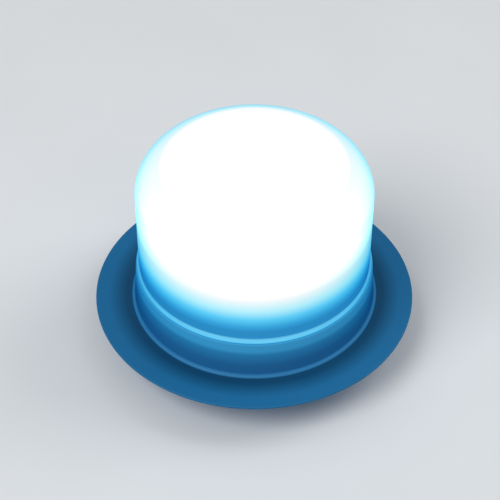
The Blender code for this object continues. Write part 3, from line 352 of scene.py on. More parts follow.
def box(size, rounding=0.0, segments=3, along=None):
    """A box about the origin with all its edges rounded, or those along one axis."""
    form = bmesh.new()
    bmesh.ops.create_cube(form, size=1.0)
    bmesh.ops.scale(form, vec=size, verts=form.verts)
    if rounding:
        edges = [edge for edge in form.edges if along is None or runs_along(edge, along)]
        bevel(form, edges, rounding, segments)
    return form


def block(size, place, rounding, segments=1, index=0):
    """A rounded box at a place, in the material of that index."""
    return paint(move(box(size, rounding, segments), place), index)


def stadium(size, segments=10):
    """A bar along Y with a flat-sided section and full round ends."""
    nearly_half = 0.499
    return box(size, nearly_half * size[2], segments, along=1)


def edges_at(form, y):
    """The edges that lie in a plane across Y."""
    return [edge for edge in form.edges if all(abs(vert.co.y - y) < MERGE for vert in edge.verts)]


def move(form, place, turn=0.0, axis="Z"):
    matrix = Matrix.Translation(place) @ Matrix.Rotation(turn, 4, axis)
    bmesh.ops.transform(form, matrix=matrix, verts=form.verts)
    return form


def over(place, form):
    """A form made about Z, moved sideways to stand over a place."""
    return move(form, (place.x, place.y, 0.0))


def outward(place, form, reach, level):
    """A form turned to face away from the lamp's axis past a place, and moved out to a reach and a level."""
    angle = math.atan2(place.y, place.x)
    return move(form, (reach * math.cos(angle), reach * math.sin(angle), level), angle)


def gather(forms):
    """Several closed bodies in one form."""
    whole = bmesh.new()
    for form in forms:
        mesh = mesh_of(form, "body")
        whole.from_mesh(mesh)
        bpy.data.meshes.remove(mesh)
    return whole


def paint(form, index, rule=None):
    """Gives a material's index to the faces whose middle the rule picks, or to all."""
    for face in form.faces:
        if rule is None or rule(face.calc_center_median()):
            face.material_index = index
    return form


def mesh_of(form, name):
    mesh = bpy.data.meshes.new(name)
    form.to_mesh(mesh)
    form.free()
    return mesh


def linked(name, data):
    item = bpy.data.objects.new(name, data)
    bpy.context.scene.collection.objects.link(item)
    return item


def taken(item):
    """The form that an object has once its modifiers or its bevel are made."""
    bpy.context.view_layer.update()
    graph = bpy.context.evaluated_depsgraph_get()
    mesh = bpy.data.meshes.new_from_object(item.evaluated_get(graph))
    form = bmesh.new()
    form.from_mesh(mesh)
    bpy.data.meshes.remove(mesh)
    return form


def carve(form, joins=(), cuts=()):
    """A form with others joined to it and then cut from it."""
    body = linked("body", mesh_of(form, "body"))
    items = [body]
    for operation, tools in (("UNION", joins), ("DIFFERENCE", cuts)):
        for tool in tools:
            item = linked("tool", mesh_of(tool, "tool"))
            items.append(item)
            modifier = body.modifiers.new("carve", "BOOLEAN")
            modifier.operation = operation
            modifier.solver = "EXACT"
            modifier.object = item
    carved = taken(body)
    for item in items:
        mesh = item.data
        bpy.data.objects.remove(item)
        bpy.data.meshes.remove(mesh)
    bmesh.ops.remove_doubles(carved, verts=carved.verts, dist=MERGE)
    bmesh.ops.holes_fill(carved, edges=[edge for edge in carved.edges if edge.is_boundary], sides=4)
    return carved


def tube(points, radius, resolution=5):
    """A round wire through the points, with closed ends."""
    curve = bpy.data.curves.new("wire", "CURVE")
    curve.dimensions = "3D"
    curve.bevel_depth = radius
    curve.bevel_resolution = resolution
    curve.use_fill_caps = True
    spline = curve.splines.new("POLY")
    spline.points.add(len(points) - 1)
    for point, place in zip(spline.points, points):
        point.co = (*place, 1.0)
    item = linked("wire", curve)
    form = taken(item)
    bpy.data.objects.remove(item)
    bpy.data.curves.remove(curve)
    return closed(form)


def add_piece(name, node, body, slot, form, *finishes):
    """A finished piece that stands for a node of the frame and rides on a body."""
    mesh = mesh_of(form, name)
    for made in finishes:
        mesh.materials.append(finish(made))
    mesh.shade_smooth()
    mesh.set_sharp_from_angle(angle=SHARP_ANGLE)
    piece = linked(name, mesh)
    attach(piece, body)
    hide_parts(node)


# Finishes

BLACK = (0.0, 0.0, 0.0, 1.0)
SKIN_IOR = 1.02  # so low that the skin tints what passes it and adds no gloss
SKIN_DEPTH = 1.364  # along the camera's view of an upright face, in thicknesses of the skin
NOISE_RANGE = (0.3, 0.7)  # where most of a noise lies


def linear(colour, level=1.0):
    """A seen colour as light, at a level."""
    return (*(level * value for value in Color(colour).from_srgb_to_scene_linear()), 1.0)


class Finish:
    """A Principled material and the nodes that feed it"""

    def __init__(self, name):
        self.material = bpy.data.materials.new(name)
        self.material.use_nodes = True
        self.tree = self.material.node_tree
        self.shader = self.tree.nodes["Principled BSDF"]
        self.place = self.add("TexCoord").outputs["Object"]

    def feed(self, socket, value):
        if isinstance(value, bpy.types.NodeSocket):
            self.tree.links.new(value, socket)
        else:
            socket.default_value = value

    def add(self, kind, sockets=None, **settings):
        node = self.tree.nodes.new("ShaderNode" + kind)
        for setting, value in settings.items():
            setattr(node, setting, value)
        for socket, value in (sockets or {}).items():
            self.feed(node.inputs[socket], value)
        return node

    def split(self):
        """The X, Y and Z of a point."""
        return self.add("SeparateXYZ", {"Vector": self.place}).outputs

    def radius(self):
        """A point's distance from the lamp's axis."""
        flat = self.add("VectorMath", {0: self.place, 1: (1.0, 1.0, 0.0)}, operation="MULTIPLY")
        return self.add("VectorMath", {0: flat.outputs["Vector"]}, operation="LENGTH").outputs["Value"]

    def noise(self, grain, detail=2.0, stretch=EVEN):
        """A noise whose grain is about that size, in metres."""
        place = self.add("Mapping", {"Vector": self.place, "Scale": stretch}).outputs["Vector"]
        sockets = {"Vector": place, "Scale": 1.0 / grain, "Detail": detail}
        return self.add("TexNoise", sockets).outputs["Fac"]

    def span(self, value, start, end, first=0.0, last=1.0):
        """A value's place between two others, from first to last."""
        sockets = {"Value": value, "From Min": start, "From Max": end, "To Min": first, "To Max": last}
        return self.add("MapRange", sockets).outputs["Result"]

    def follow(self, noise, first, last):
        """A value that a noise leads from first to last."""
        return self.span(noise, *NOISE_RANGE, first, last)

    def math(self, operation, *values):
        return self.add("Math", dict(enumerate(values)), operation=operation).outputs["Value"]

    def ramp(self, value, stops):
        """Colours between stops (place, colour), which run from 0 to 1."""
        node = self.add("ValToRGB", {"Fac": value})
        elements = node.color_ramp.elements
        while len(elements) < len(stops):
            elements.new(0.5)
        for element, (place, colour) in zip(elements, stops):
            element.position = place
            element.color = colour
        return node.outputs["Color"]

    def mix(self, value, first, second):
        node = self.add("Mix", {"Factor": value}, data_type="RGBA")
        for name, colour in (("A", first), ("B", second)):
            self.feed(next(s for s in node.inputs if s.name == name and s.type == "RGBA"), colour)
        return next(socket for socket in node.outputs if socket.type == "RGBA")

    def bump(self, height, depth, strength):
        sockets = {"Height": height, "Distance": depth, "Strength": strength}
        return self.add("Bump", sockets).outputs["Normal"]

    def glow(self, own, share, strength, limb, skin=1.0):
        """Shows a colour under a skin that tints it: a share is its own light, the rest the room's."""
        self.wear(
            Base_Color=self.mix(1.0 - strength * (1.0 - share), own, BLACK), Emission_Color=own,
            Emission_Strength=strength * share, Coat_Weight=skin, Coat_IOR=SKIN_IOR, Coat_Roughness=0.5,
            Coat_Tint=linear(limb),
        )

    def wear(self, **sockets):
        """Sets the shader's own sockets."""
        for name, value in sockets.items():
            self.feed(self.shader.inputs[name.replace("_", " ")], value)


def lamp_colours():
    return bpy.context.scene.flare_lamp_colours


def lamp_sizes():
    return bpy.context.scene.flare_lamp_sizes


def grained(made, colour, roughness, grain, depth, vary, stretch=EVEN, **sockets):
    """A plain finish with a fine grain, in millimetres, that varies its colour, its gloss and its surface."""
    fine = made.noise(grain * MM, 3.0, stretch)
    broad = made.noise(25 * grain * MM, 2.0, stretch)
    seen = linear(colour)[:3]
    dull = (*(value * (1.0 - vary) for value in seen), 1.0)
    bright = (*(min(1.0, value * (1.0 + vary)) for value in seen), 1.0)
    tone = made.math("MULTIPLY_ADD", fine, 0.35, 0.5)
    tone = made.math("ADD", tone, made.math("MULTIPLY", broad, 0.6))
    made.wear(
        Base_Color=made.mix(tone, dull, bright),
        Roughness=made.follow(broad, roughness * 0.85, min(1.0, roughness * 1.15)),
        Normal=made.bump(fine, depth * MM, 0.6),
        **sockets,
    )


PLAIN_FINISHES = {
    "black_rubber": dict(colour=(0.16, 0.16, 0.17), roughness=0.75, grain=0.5, depth=0.03, vary=0.3),
    "grey_rubber": dict(colour=(0.42, 0.44, 0.47), roughness=0.65, grain=0.45, depth=0.02, vary=0.2),
    "zinc_steel": dict(
        colour=(0.8, 0.81, 0.82), roughness=0.3, grain=0.3, depth=0.006, vary=0.12, stretch=(1.0, 6.0, 6.0),
        Metallic=1.0,
    ),
    "nickel_strip": dict(
        colour=(0.82, 0.8, 0.76), roughness=0.28, grain=0.2, depth=0.005, vary=0.1, stretch=(8.0, 1.0, 8.0),
        Metallic=1.0,
    ),
    "aluminium_can": dict(
        colour=(0.86, 0.87, 0.88), roughness=0.32, grain=0.2, depth=0.006, vary=0.08, stretch=(1.0, 1.0, 8.0),
        Metallic=1.0,
    ),
    "gold_contact": dict(
        colour=(0.93, 0.76, 0.38), roughness=0.25, grain=0.2, depth=0.004, vary=0.1, Metallic=1.0
    ),
    "solder": dict(colour=(0.78, 0.79, 0.8), roughness=0.22, grain=0.8, depth=0.02, vary=0.12, Metallic=1.0),
    "black_plastic": dict(colour=(0.15, 0.15, 0.16), roughness=0.5, grain=0.25, depth=0.012, vary=0.25),
    "white_plastic": dict(colour=(0.9, 0.9, 0.89), roughness=0.42, grain=0.5, depth=0.012, vary=0.05),
    "cell_wrap": dict(
        colour=(0.2, 0.42, 0.66), roughness=0.3, grain=1.5, depth=0.03, vary=0.12, stretch=(0.3, 1.0, 1.0)
    ),
    "red_wire": dict(colour=(0.74, 0.12, 0.1), roughness=0.42, grain=0.8, depth=0.01, vary=0.12),
    "black_wire": dict(colour=(0.13, 0.13, 0.14), roughness=0.42, grain=0.8, depth=0.01, vary=0.2),
}


def milky_plastic(made):
    """The housing's plastic where no light reaches it."""
    grained(made, lamp_colours().flange, 0.48, 0.5, 0.015, 0.1, Specular_IOR_Level=0.3)


def under_skin(colour, limb, level=1.0, weight=1.0):
    """The light under the tinted skin that shows as a colour from the camera."""
    passed = [1.0 - weight + weight * share ** SKIN_DEPTH for share in linear(limb)[:3]]
    return (*(level * seen / share for seen, share in zip(linear(colour), passed)), 1.0)


def frosted_cap(made):
    """Frosted plastic lit from inside: white at its core, cyan to blue towards its foot."""
    colours = lamp_colours()
    level = made.span(made.split()["Z"], high("cap_seal").z + lamp_sizes().seat_gap, CAP_TOP)
    skin = colours.cap_skin
    strength = colours.core_level * max(under_skin(colours.core, colours.limb, 1.0, skin))
    fade = [
        (0.0, colours.foot), (0.084, colours.foot), (0.141, colours.blue), (0.221, colours.cyan),
        (0.312, colours.pale), (0.437, colours.core),
    ]
    wall_start, wall_end, shoulder, rim, top = 0.63, 0.7, 0.88, 0.99, 1.0
    core, brightest = colours.core, colours.core_level
    stops = [(place, colour, 1.0, skin) for place, colour in fade] + [
        (wall_start, core, brightest, skin), (wall_end, core, brightest, skin), (shoulder, core, 1.2, skin),
        (rim, core, 1.0, skin), (top, core, 1.05, colours.top_skin),
    ]
    own = made.ramp(level, [
        (place, under_skin(colour, colours.limb, brightness / strength, weight))
        for place, colour, brightness, weight in stops
    ])
    over_top = made.span(level, rim, top, skin, colours.top_skin)
    made.glow(own, colours.glow_share, strength, colours.limb, over_top)
    grain = made.noise(0.25 * MM)
    made.wear(
        Roughness=made.follow(grain, 0.5, 0.62), Normal=made.bump(grain, 0.015 * MM, 0.5),
        Specular_IOR_Level=0.3,
    )


def soft_ring(made):
    """Clear soft rubber with painted glow standing in for the cap's light that it carries, and painted shade at
    its top edge.
    """
    colours, sizes = lamp_colours(), lamp_sizes()
    grain = made.noise(0.5 * MM)
    drift = made.noise(9.0 * MM)
    # Painted glow: the ring's own light, a little brighter or dimmer at random.
    own = made.mix(drift, *(under_skin(colours.ring, colours.limb, level) for level in (0.92, 1.08)))
    top = high("cap_seal").z + sizes.seat_gap + sizes.ring_lip
    # Painted shade: the top edge fades towards the cap's foot colour, where the ring meets the cap.
    edge = made.span(made.split()["Z"], top - 0.4 * MM, top - 0.05 * MM, 0.0, 0.6)
    own = made.mix(edge, own, under_skin(colours.foot, colours.limb))
    made.glow(own, colours.glow_share, 1.0, colours.limb)
    made.wear(Roughness=made.follow(drift, 0.3, 0.4), Normal=made.bump(grain, 0.01 * MM, 0.4))


def milky_shell(made):
    """Milky blue plastic with painted light: a painted glow on the collar that is brightest round the spigot, a
    painted highlight on the bead and painted shade on the flange next to the bead and the housing.
    """
    colours, sizes = lamp_colours(), lamp_sizes()
    skin = colours.shell_skin

    def bands(value, start, end, stops):
        return made.ramp(made.span(value, start, end), [
            ((place - start) / (end - start), under_skin(colour, colours.limb, 1.0, skin))
            for place, colour in stops
        ])

    height = made.split()["Z"]
    # Painted light by height: the collar's glowing bands and the bead's painted highlight.
    collar = bands(height, FLANGE_TOP, COLLAR_TOP, [
        (FLANGE_TOP + 0.75 * sizes.bead, colours.bead), (FLANGE_TOP + 1.5 * sizes.bead, colours.collar_dark),
        (CAP_END - 5.8 * MM, colours.collar_dark), (CAP_END - 0.7 * MM, colours.collar_painted_half_glow),
        (CAP_END + 1.1 * MM, colours.collar_painted_glow), (COLLAR_TOP, colours.collar_painted_glow),
    ])
    foot = CAP_RADIUS + sizes.collar_step + sizes.collar_flare + sizes.bead
    # Painted shade: the flange darker next to the bead on top and next to the housing underneath.
    flange = bands(made.radius(), 0.0, FLANGE_RADIUS, [
        (HOUSING_RADIUS + 0.2 * MM, colours.flange), (foot - 0.5 * MM, colours.flange_painted_shade),
        (foot + 2.2 * MM, colours.flange_painted_shade), (FLANGE_RADIUS - 5.0 * MM, colours.flange),
    ])
    rise = made.span(height, FLANGE_TOP + 0.02 * MM, FLANGE_TOP + 0.3 * MM)
    # Painted glow: a share of the shell's colour is given as its own light.
    made.glow(made.mix(rise, flange, collar), colours.shell_painted_glow, 1.0, colours.limb, skin)
    grain = made.noise(0.35 * MM, 3.0)
    drift = made.noise(14.0 * MM)
    made.wear(
        Roughness=made.follow(drift, 0.42, 0.55), Normal=made.bump(grain, 0.012 * MM, 0.5),
        Specular_IOR_Level=0.25,
    )


def clear_plastic(made):
    """Polished clear plastic with a slight wave."""
    drift = made.noise(1.5 * MM)
    made.wear(
        Base_Color=linear((0.88, 0.95, 0.97)), Transmission_Weight=0.85, IOR=1.49,
        Roughness=made.follow(drift, 0.08, 0.16), Normal=made.bump(drift, 0.01 * MM, 0.3),
    )


def board_finish(made, tracks, mask, copper):
    """Solder mask, in another tone where there is copper under it."""
    grain = made.noise(0.4 * MM)
    made.wear(
        Base_Color=made.mix(tracks, linear(mask), linear(copper)), Roughness=made.follow(grain, 0.28, 0.38),
        Normal=made.bump(tracks, 0.03 * MM, 0.4),
    )


def green_board(made):
    """A board with square runs of track round its pads."""
    block = 9.0 * MM
    sockets = {"Vector": made.place, "Scale": 1.0 / block}
    reach = made.add("TexVoronoi", sockets, distance="CHEBYCHEV").outputs["Distance"]
    tracks = made.span(made.math("PINGPONG", reach, 0.08), 0.03, 0.045)
    board_finish(made, tracks, (0.09, 0.36, 0.2), (0.15, 0.46, 0.27))


def white_board(made):
    """A board with a band of copper under each ring of emitters."""
    radius = made.radius()
    half, soft = 3.4 * MM, 0.1 * MM
    bands = []
    for ring in LED_RINGS:
        away = made.math("ABSOLUTE", made.math("SUBTRACT", radius, ring))
        bands.append(made.span(away, half + soft, half - soft))
    board_finish(made, made.math("MAXIMUM", *bands), (0.92, 0.93, 0.93), (0.87, 0.885, 0.89))


def glowing_window(made):
    """The phosphor of an emitter that is lit."""
    colours = lamp_colours()
    drift = made.noise(0.6 * MM)
    own = made.mix(drift, linear(colours.pale), linear(colours.core))
    made.wear(
        Base_Color=linear((0.95, 0.9, 0.6), 0.3), Emission_Color=own, Emission_Strength=0.9,
        Roughness=made.follow(drift, 0.25, 0.4),
    )


def studio_floor(made):
    """A pale floor with a faint drift."""
    floor = bpy.context.scene.flare_lamp_stage.floor
    drift = made.noise(60.0 * MM, 3.0)
    made.wear(
        Base_Color=made.mix(drift, linear(floor, 0.94), linear(floor)),
        Roughness=made.follow(drift, 0.7, 0.8), Specular_IOR_Level=0.15,
    )


SPECIAL_FINISHES = {
    maker.__name__: maker for maker in (
        milky_plastic, frosted_cap, soft_ring, milky_shell, clear_plastic, green_board, white_board,
        glowing_window, studio_floor,
    )
}
MADE = {}


def finish(name):
    """The material of that name, made when it is first asked for."""
    if name not in MADE:
        made = Finish(name)
        if name in PLAIN_FINISHES:
            grained(made, **PLAIN_FINISHES[name])
        else:
            SPECIAL_FINISHES[name](made)
        MADE[name] = made.material
    return MADE[name]


# Pieces

def build_cap(sizes):
    """The cap with its rounded top and the spigot that sits in the collar."""
    seat = high("cap_seal").z + sizes.seat_gap
    spigot = CAP_RADIUS - sizes.cap_ledge
    bore = spigot - sizes.spigot_wall
    inner = CAP_RADIUS - sizes.cap_wall
    edge = sizes.edge_round
    form = spin([
        (0.0, CAP_TOP),
        (CAP_RADIUS, CAP_TOP, sizes.cap_round),
        (CAP_RADIUS, seat, edge),
        (spigot, seat, edge),
        (spigot, CAP_END, 0.5 * MM),
        (bore, CAP_END, edge),
        (bore, seat, edge),
        (inner, seat + sizes.cap_wall, edge),
        (inner, CAP_TOP - sizes.cap_wall, sizes.cap_round - sizes.cap_wall),
        (0.0, CAP_TOP - sizes.cap_wall),
    ], BODY_STEPS)
    add_piece("cap_moulding", "diffuser_cap", "cap", "frosted_plastic", form, "frosted_cap")


def build_ring(sizes):
    """The soft ring under the cap, with a lip round the cap's foot."""
    bottom = COLLAR_TOP + SOFT_ROOM
    seat = high("cap_seal").z + sizes.seat_gap
    lip_top = seat + sizes.ring_lip
    outer = high("cap_seal").x
    inner = CAP_RADIUS - sizes.bore_inset + sizes.seat_gap
    form = spin([
        (inner, seat - SOFT_ROOM, sizes.edge_round),
        (CAP_RADIUS + SOFT_ROOM, seat - SOFT_ROOM),
        (CAP_RADIUS + SOFT_ROOM, lip_top, FINE_ROUND),
        (outer, lip_top, sizes.ring_round),
        (outer, bottom, sizes.ring_round),
        (inner, bottom, sizes.edge_round),
    ], BODY_STEPS, ring=True)
    add_piece("soft_ring", "cap_seal", "base", "clear_silicone", form, "soft_ring")


def shell_ring(sizes):
    """The shell's round wall: collar, bead, flange and housing."""
    bore = CAP_RADIUS - sizes.bore_inset
    collar = CAP_RADIUS + sizes.collar_step
    foot = collar + sizes.collar_flare
    bead_top = FLANGE_TOP + sizes.bead
    rim = FLANGE_RADIUS - MERGE
    edge = sizes.edge_round
    return spin([
        (bore, COLLAR_TOP, edge),
        (collar, COLLAR_TOP, 0.5 * MM),
        (foot, bead_top, FINE_ROUND),
        (foot + sizes.bead, bead_top, 0.85 * sizes.bead),
        (foot + sizes.bead, FLANGE_TOP, FINE_ROUND),
        (rim, FLANGE_TOP, sizes.flange_round),
        (rim, FLANGE_BOTTOM, sizes.flange_round),
        (HOUSING_RADIUS, FLANGE_BOTTOM, edge),
        (HOUSING_RADIUS, SHELL_BOTTOM, edge),
        (bore, SHELL_BOTTOM, edge),
    ], BODY_STEPS, ring=True)


def port_cuts(sizes):
    """The flat that the port cover lies on and the hole that the socket looks out of."""
    flat = HOUSING_RADIUS - sizes.port_flat
    depth = sizes.port_flat + PAST
    height = FLANGE_BOTTOM - SHELL_BOTTOM + PAST
    recess = box((2 * high("port_cover").x, depth, height))
    margin = 2 * sizes.port_margin
    socket = extent("charge_socket")
    hole = stadium((socket.x + margin, 6 * MM, socket.z + margin))
    return [
        move(recess, (0.0, flat + depth / 2, FLANGE_BOTTOM - height / 2)),
        move(hole, (0.0, flat, middle("charge_socket").z)),
    ]


def knuckle(sizes, bottom, top):
    """A ring for the hinge's pin."""
    ring = washer(PIN_HOLE, sizes.knuckle, bottom, top, BOSS_ROUND, TINY_STEPS)
    return over(HINGE, move(ring, ORIGIN, OFF_GRID))


def hinge_lugs(sizes):
    """Two lugs that hold the port cover's pin: one under the flange, one out from the wall."""
    clear = KNUCKLE_HALF + sizes.seat_gap
    top = HINGE.z - clear
    bottom = low("port_hinge_pin").z
    root = HOUSING_RADIUS - BITE
    tip = HINGE.xy.length - PIN_ROOM
    web = box((tip - root, 2 * sizes.knuckle - BITE, top - bottom - BITE), WEB_ROUND)
    return [
        knuckle(sizes, HINGE.z + clear, FLANGE_BOTTOM + BITE),
        knuckle(sizes, bottom, top),
        outward(HINGE, web, (root + tip) / 2, (bottom + top) / 2),
    ]


def shell_bosses(sizes):
    """A boss over each screw, with a rib to the wall."""
    bottom = BOARD_TOP + sizes.seat_gap
    top = low("cell_holder").z - sizes.seat_gap
    root = CAP_RADIUS - sizes.bore_inset + BITE
    for post, boss in zip(POSTS, bars(POSTS, sizes.boss_radius, bottom, top, BOSS_ROUND)):
        yield boss
        start = post.xy.length
        rib = box((root - start, sizes.boss_rib, top - bottom - 3 * BITE), WEB_ROUND)
        yield outward(post, rib, (start + root) / 2, (bottom + top) / 2)


def build_shell(sizes):
    """The flanged shell with its port, its hinge and its bosses."""
    shank = COVER_SHANK + sizes.screw_gap
    form = carve(
        shell_ring(sizes),
        joins=[*hinge_lugs(sizes), *shell_bosses(sizes)],
        cuts=[*port_cuts(sizes), *holes("cover_screw", shank, BOARD_TOP, low("cell_holder").z)],
    )
    add_piece("shell_moulding", "base_shell", "base", "milky_plastic", form, "milky_shell")


def build_cover(sizes):
    """The bottom cover with its spigot, bosses, recesses and openings."""
    plate_top = COVER_BOTTOM + sizes.cover_plate
    spigot = CAP_RADIUS - sizes.bore_inset - sizes.seat_gap
    spigot_top = plate_top + 3.5 * MM
    boss_top = high("bottom_cover").z
    edge = sizes.edge_round
    plate = spin([
        (0.0, plate_top),
        (spigot - sizes.cover_spigot, plate_top, edge),
        (spigot - sizes.cover_spigot, spigot_top, edge),
        (spigot, spigot_top, edge),
        (spigot, plate_top, edge),
        (HOUSING_RADIUS, plate_top, edge),
        (HOUSING_RADIUS, COVER_BOTTOM, 0.8 * MM),
        (0.0, COVER_BOTTOM),
    ], BODY_STEPS)
    head = extent("cover_screw_1").x / 2 + sizes.screw_gap
    head_top = COVER_BOTTOM + HEAD_HEIGHT + sizes.seat_gap
    foot = extent("foot_pad_1").x / 2 + sizes.seat_gap
    foot_top = high("foot_pad_1").z + sizes.seat_gap
    cuts = [
        *holes("cover_screw", COVER_SHANK + sizes.screw_gap, COVER_BOTTOM, boss_top),
        *holes("cover_screw", head, COVER_BOTTOM, head_top - PAST),
        *holes("foot_pad", foot, COVER_BOTTOM, foot_top - PAST),
    ]
    for node, radius in (("power_button", BUTTON_RADIUS), ("status_light_pipe", PIPE_RADIUS)):
        hole = bar(radius + sizes.seat_gap, COVER_BOTTOM - PAST, plate_top + PAST)
        cuts.append(over(middle(node), hole))
    bosses = bars(POSTS, sizes.boss_radius, plate_top - BITE, boss_top, BOSS_ROUND)
    form = carve(plate, joins=bosses, cuts=cuts)
    add_piece("cover_moulding", "bottom_cover", "base", "milky_plastic", form, "milky_plastic")


def build_seal_and_feet(sizes):
    """The gasket over the bottom cover and the four dished feet under it."""
    lowest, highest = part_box("bottom_seal")
    inner = CAP_RADIUS - sizes.bore_inset + 0.4 * MM
    squeeze = sizes.seat_gap - SOFT_ROOM
    ring = washer(inner, highest.x, lowest.z - squeeze, highest.z + squeeze, WEB_ROUND, BODY_STEPS)
    add_piece("bottom_gasket", "bottom_seal", "base", "black_rubber", ring, "black_rubber")
    for number in CORNERS:
        node = f"foot_pad_{number}"
        bottom, top = low(node).z, high(node).z
        radius = extent(node).x / 2
        dish = bottom + 0.2 * MM
        pad = spin([
            (0.0, top), (radius, top, FINE_ROUND), (radius, bottom, sizes.edge_round),
            (0.72 * radius, bottom, FINE_ROUND), (0.68 * radius, dish, FINE_ROUND), (0.0, dish),
        ])
        add_piece(f"foot_{number}", node, "base", "black_rubber", over(middle(node), pad), "black_rubber")


def screw_form(radius, shank, head):
    """A pan-head screw, head up, with the underside of its head at the origin."""
    threads = int(0.6 * shank / THREAD_PITCH)
    point = 0.6 * MM
    corners = [
        (0.0, HEAD_HEIGHT), (head, HEAD_HEIGHT, 0.6 * HEAD_HEIGHT), (head, 0.0, FINE_ROUND),
        (radius, 0.0),
    ]
    for turn in range(threads, 0, -1):
        level = point - shank + turn * THREAD_PITCH
        corners += [(radius, level), (radius - THREAD_DEPTH, level - THREAD_PITCH / 2)]
    corners += [(radius, point - shank), (radius - point, -shank), (0.0, -shank)]
    slots = []
    for turn in (0.0, math.pi / 2):
        slot = box((1.3 * head, 0.3 * head, HEAD_HEIGHT), FINE_ROUND, 2)
        slots.append(move(slot, (0.0, 0.0, 0.95 * HEAD_HEIGHT), turn))
    return carve(spin(corners, TINY_STEPS), cuts=slots)


def build_screws():
    """The cover's screws, heads down, and the light board's, heads up."""
    for kind, radius, flip in (("cover_screw", COVER_SHANK, math.pi), ("led_screw", LED_SHANK, 0.0)):
        size = extent(f"{kind}_1")
        template = screw_form(radius, size.z - HEAD_HEIGHT, size.x / 2)
        for number in CORNERS:
            node = f"{kind}_{number}"
            place = middle(node)
            seat = low(node).z + HEAD_HEIGHT if flip else high(node).z - HEAD_HEIGHT
            form = move(template.copy(), (place.x, place.y, seat), flip, "X")
            add_piece(f"{kind}_head_{number}", node, "base", "zinc_steel", form, "zinc_steel")
        template.free()


def build_button(sizes):
    """The soft button with its dished face, and the plunger of its switch."""
    lowest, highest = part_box("power_button")
    place = middle("power_button")
    rim = extent("power_button").x / 2
    rim_bottom = COVER_BOTTOM + sizes.cover_plate + sizes.seat_gap
    rim_top = rim_bottom + 0.9 * MM
    stub = 2.0 * MM
    dish = lowest.z + 0.35 * MM
    form = spin([
        (0.0, highest.z), (stub, highest.z, BOSS_ROUND), (stub, rim_top, sizes.edge_round),
        (rim, rim_top, 0.25 * MM), (rim, rim_bottom, 0.25 * MM), (BUTTON_RADIUS, rim_bottom, FINE_ROUND),
        (BUTTON_RADIUS, lowest.z, 0.6 * MM), (0.72 * BUTTON_RADIUS, lowest.z, 0.2 * MM),
        (0.62 * BUTTON_RADIUS, dish, 0.4 * MM), (0.0, dish),
    ])
    add_piece("button_cap", "power_button", "button", "grey_rubber", over(place, form), "grey_rubber")
    lowest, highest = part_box("switch_plunger")
    stem = bar(extent("switch_plunger").x / 2, lowest.z, highest.z, sizes.edge_round, TINY_STEPS)
    add_piece("switch_stem", "switch_plunger", "button", "white_plastic", over(place, stem), "white_plastic")


def build_switch(sizes):
    """A push switch with a steel plate held by four rivets, and the bore that its plunger slides in."""
    lowest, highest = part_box("power_switch")
    place = middle("power_switch")
    size = extent("power_switch")
    plate_height = 0.3 * MM
    body_height = size.z - plate_height
    bore = extent("switch_plunger").x / 2 + sizes.seat_gap
    bore_top = high("switch_plunger").z + JOINTS["button_press"]["range_m"][1] + sizes.seat_gap
    hole = over(place, bar(bore, lowest.z - PAST, bore_top, 0.0, TINY_STEPS))
    body_place = (place.x, place.y, highest.z - body_height / 2)
    body = block((size.x, size.y, body_height), body_place, 0.25 * MM, 3)
    plate_place = (place.x, place.y, lowest.z + plate_height / 2)
    plate = block((0.98 * size.x, 0.98 * size.y, plate_height), plate_place, FINE_ROUND, 2)
    forms = [carve(body, cuts=[hole.copy()]), paint(carve(plate, cuts=[hole]), 1)]
    leg_size = (0.7 * MM, 0.4 * MM, 0.5 * MM)
    for x in SIDES:
        for y in SIDES:
            spot = place + Vector((x * 0.38 * size.x, y * 0.38 * size.y, 0.0))
            rivet = bar(0.45 * MM, lowest.z - 0.12 * MM, lowest.z + 0.1 * MM, FINE_ROUND, TINY_STEPS)
            leg_place = (spot.x, place.y + y * (size.y / 2 + 0.15 * MM), highest.z - 0.1 * MM)
            forms += [over(spot, rivet), block(leg_size, leg_place, 0.08 * MM, 2, 1)]
    add_piece(
        "push_switch", "power_switch", "base", "black_plastic", gather(forms), "black_plastic", "zinc_steel"
    )


def build_light_pipe(sizes):
    """The light pipe through the cover."""
    lowest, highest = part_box("status_light_pipe")
    rim = extent("status_light_pipe").x / 2
    rim_bottom = COVER_BOTTOM + sizes.cover_plate + sizes.seat_gap
    rim_top = rim_bottom + 0.8 * MM
    pipe = spin([
        (0.0, highest.z), (PIPE_RADIUS, highest.z, FINE_ROUND), (PIPE_RADIUS, rim_top, FINE_ROUND),
        (rim, rim_top, WEB_ROUND), (rim, rim_bottom, WEB_ROUND), (PIPE_RADIUS, rim_bottom, FINE_ROUND / 2),
        (PIPE_RADIUS, lowest.z, 0.5 * MM), (0.0, lowest.z),
    ])
    over(middle("status_light_pipe"), pipe)
    add_piece("light_pipe", "status_light_pipe", "base", "clear_plastic", pipe, "clear_plastic")


def build_status_emitter():
    """The status light's emitter, with a soldered end at each side."""
    size = extent("status_led")
    centre = middle("status_led")
    forms = [block((0.6 * size.x, size.y, size.z), centre, FINE_ROUND, 2, 1)]
    for side in SIDES:
        end_place = centre + Vector((side * 0.39 * size.x, 0.0, 0.0))
        forms.append(block((0.22 * size.x, size.y, 0.9 * size.z), end_place, 0.06 * MM, 2))
    add_piece(
        "status_emitter", "status_led", "base", "light_emitter", gather(forms), "solder", "glowing_window"
    )


def build_socket(sizes):
    """The charging socket's shell, open to the outside."""
    lowest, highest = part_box("charge_socket")
    size = extent("charge_socket")
    centre = middle("charge_socket")
    wall = 2 * sizes.socket_wall
    pocket_start = lowest.y + 1.0 * MM
    pocket_depth = highest.y + PAST - pocket_start
    pocket = stadium((size.x - wall, pocket_depth, size.z - wall))
    move(pocket, (0.0, pocket_start + pocket_depth / 2, centre.z))
    form = carve(move(stadium(size), centre), cuts=[pocket])
    bevel(form, edges_at(form, highest.y), 0.1 * MM, 2)
    add_piece("charge_shell", "charge_socket", "base", "zinc_steel", form, "zinc_steel")


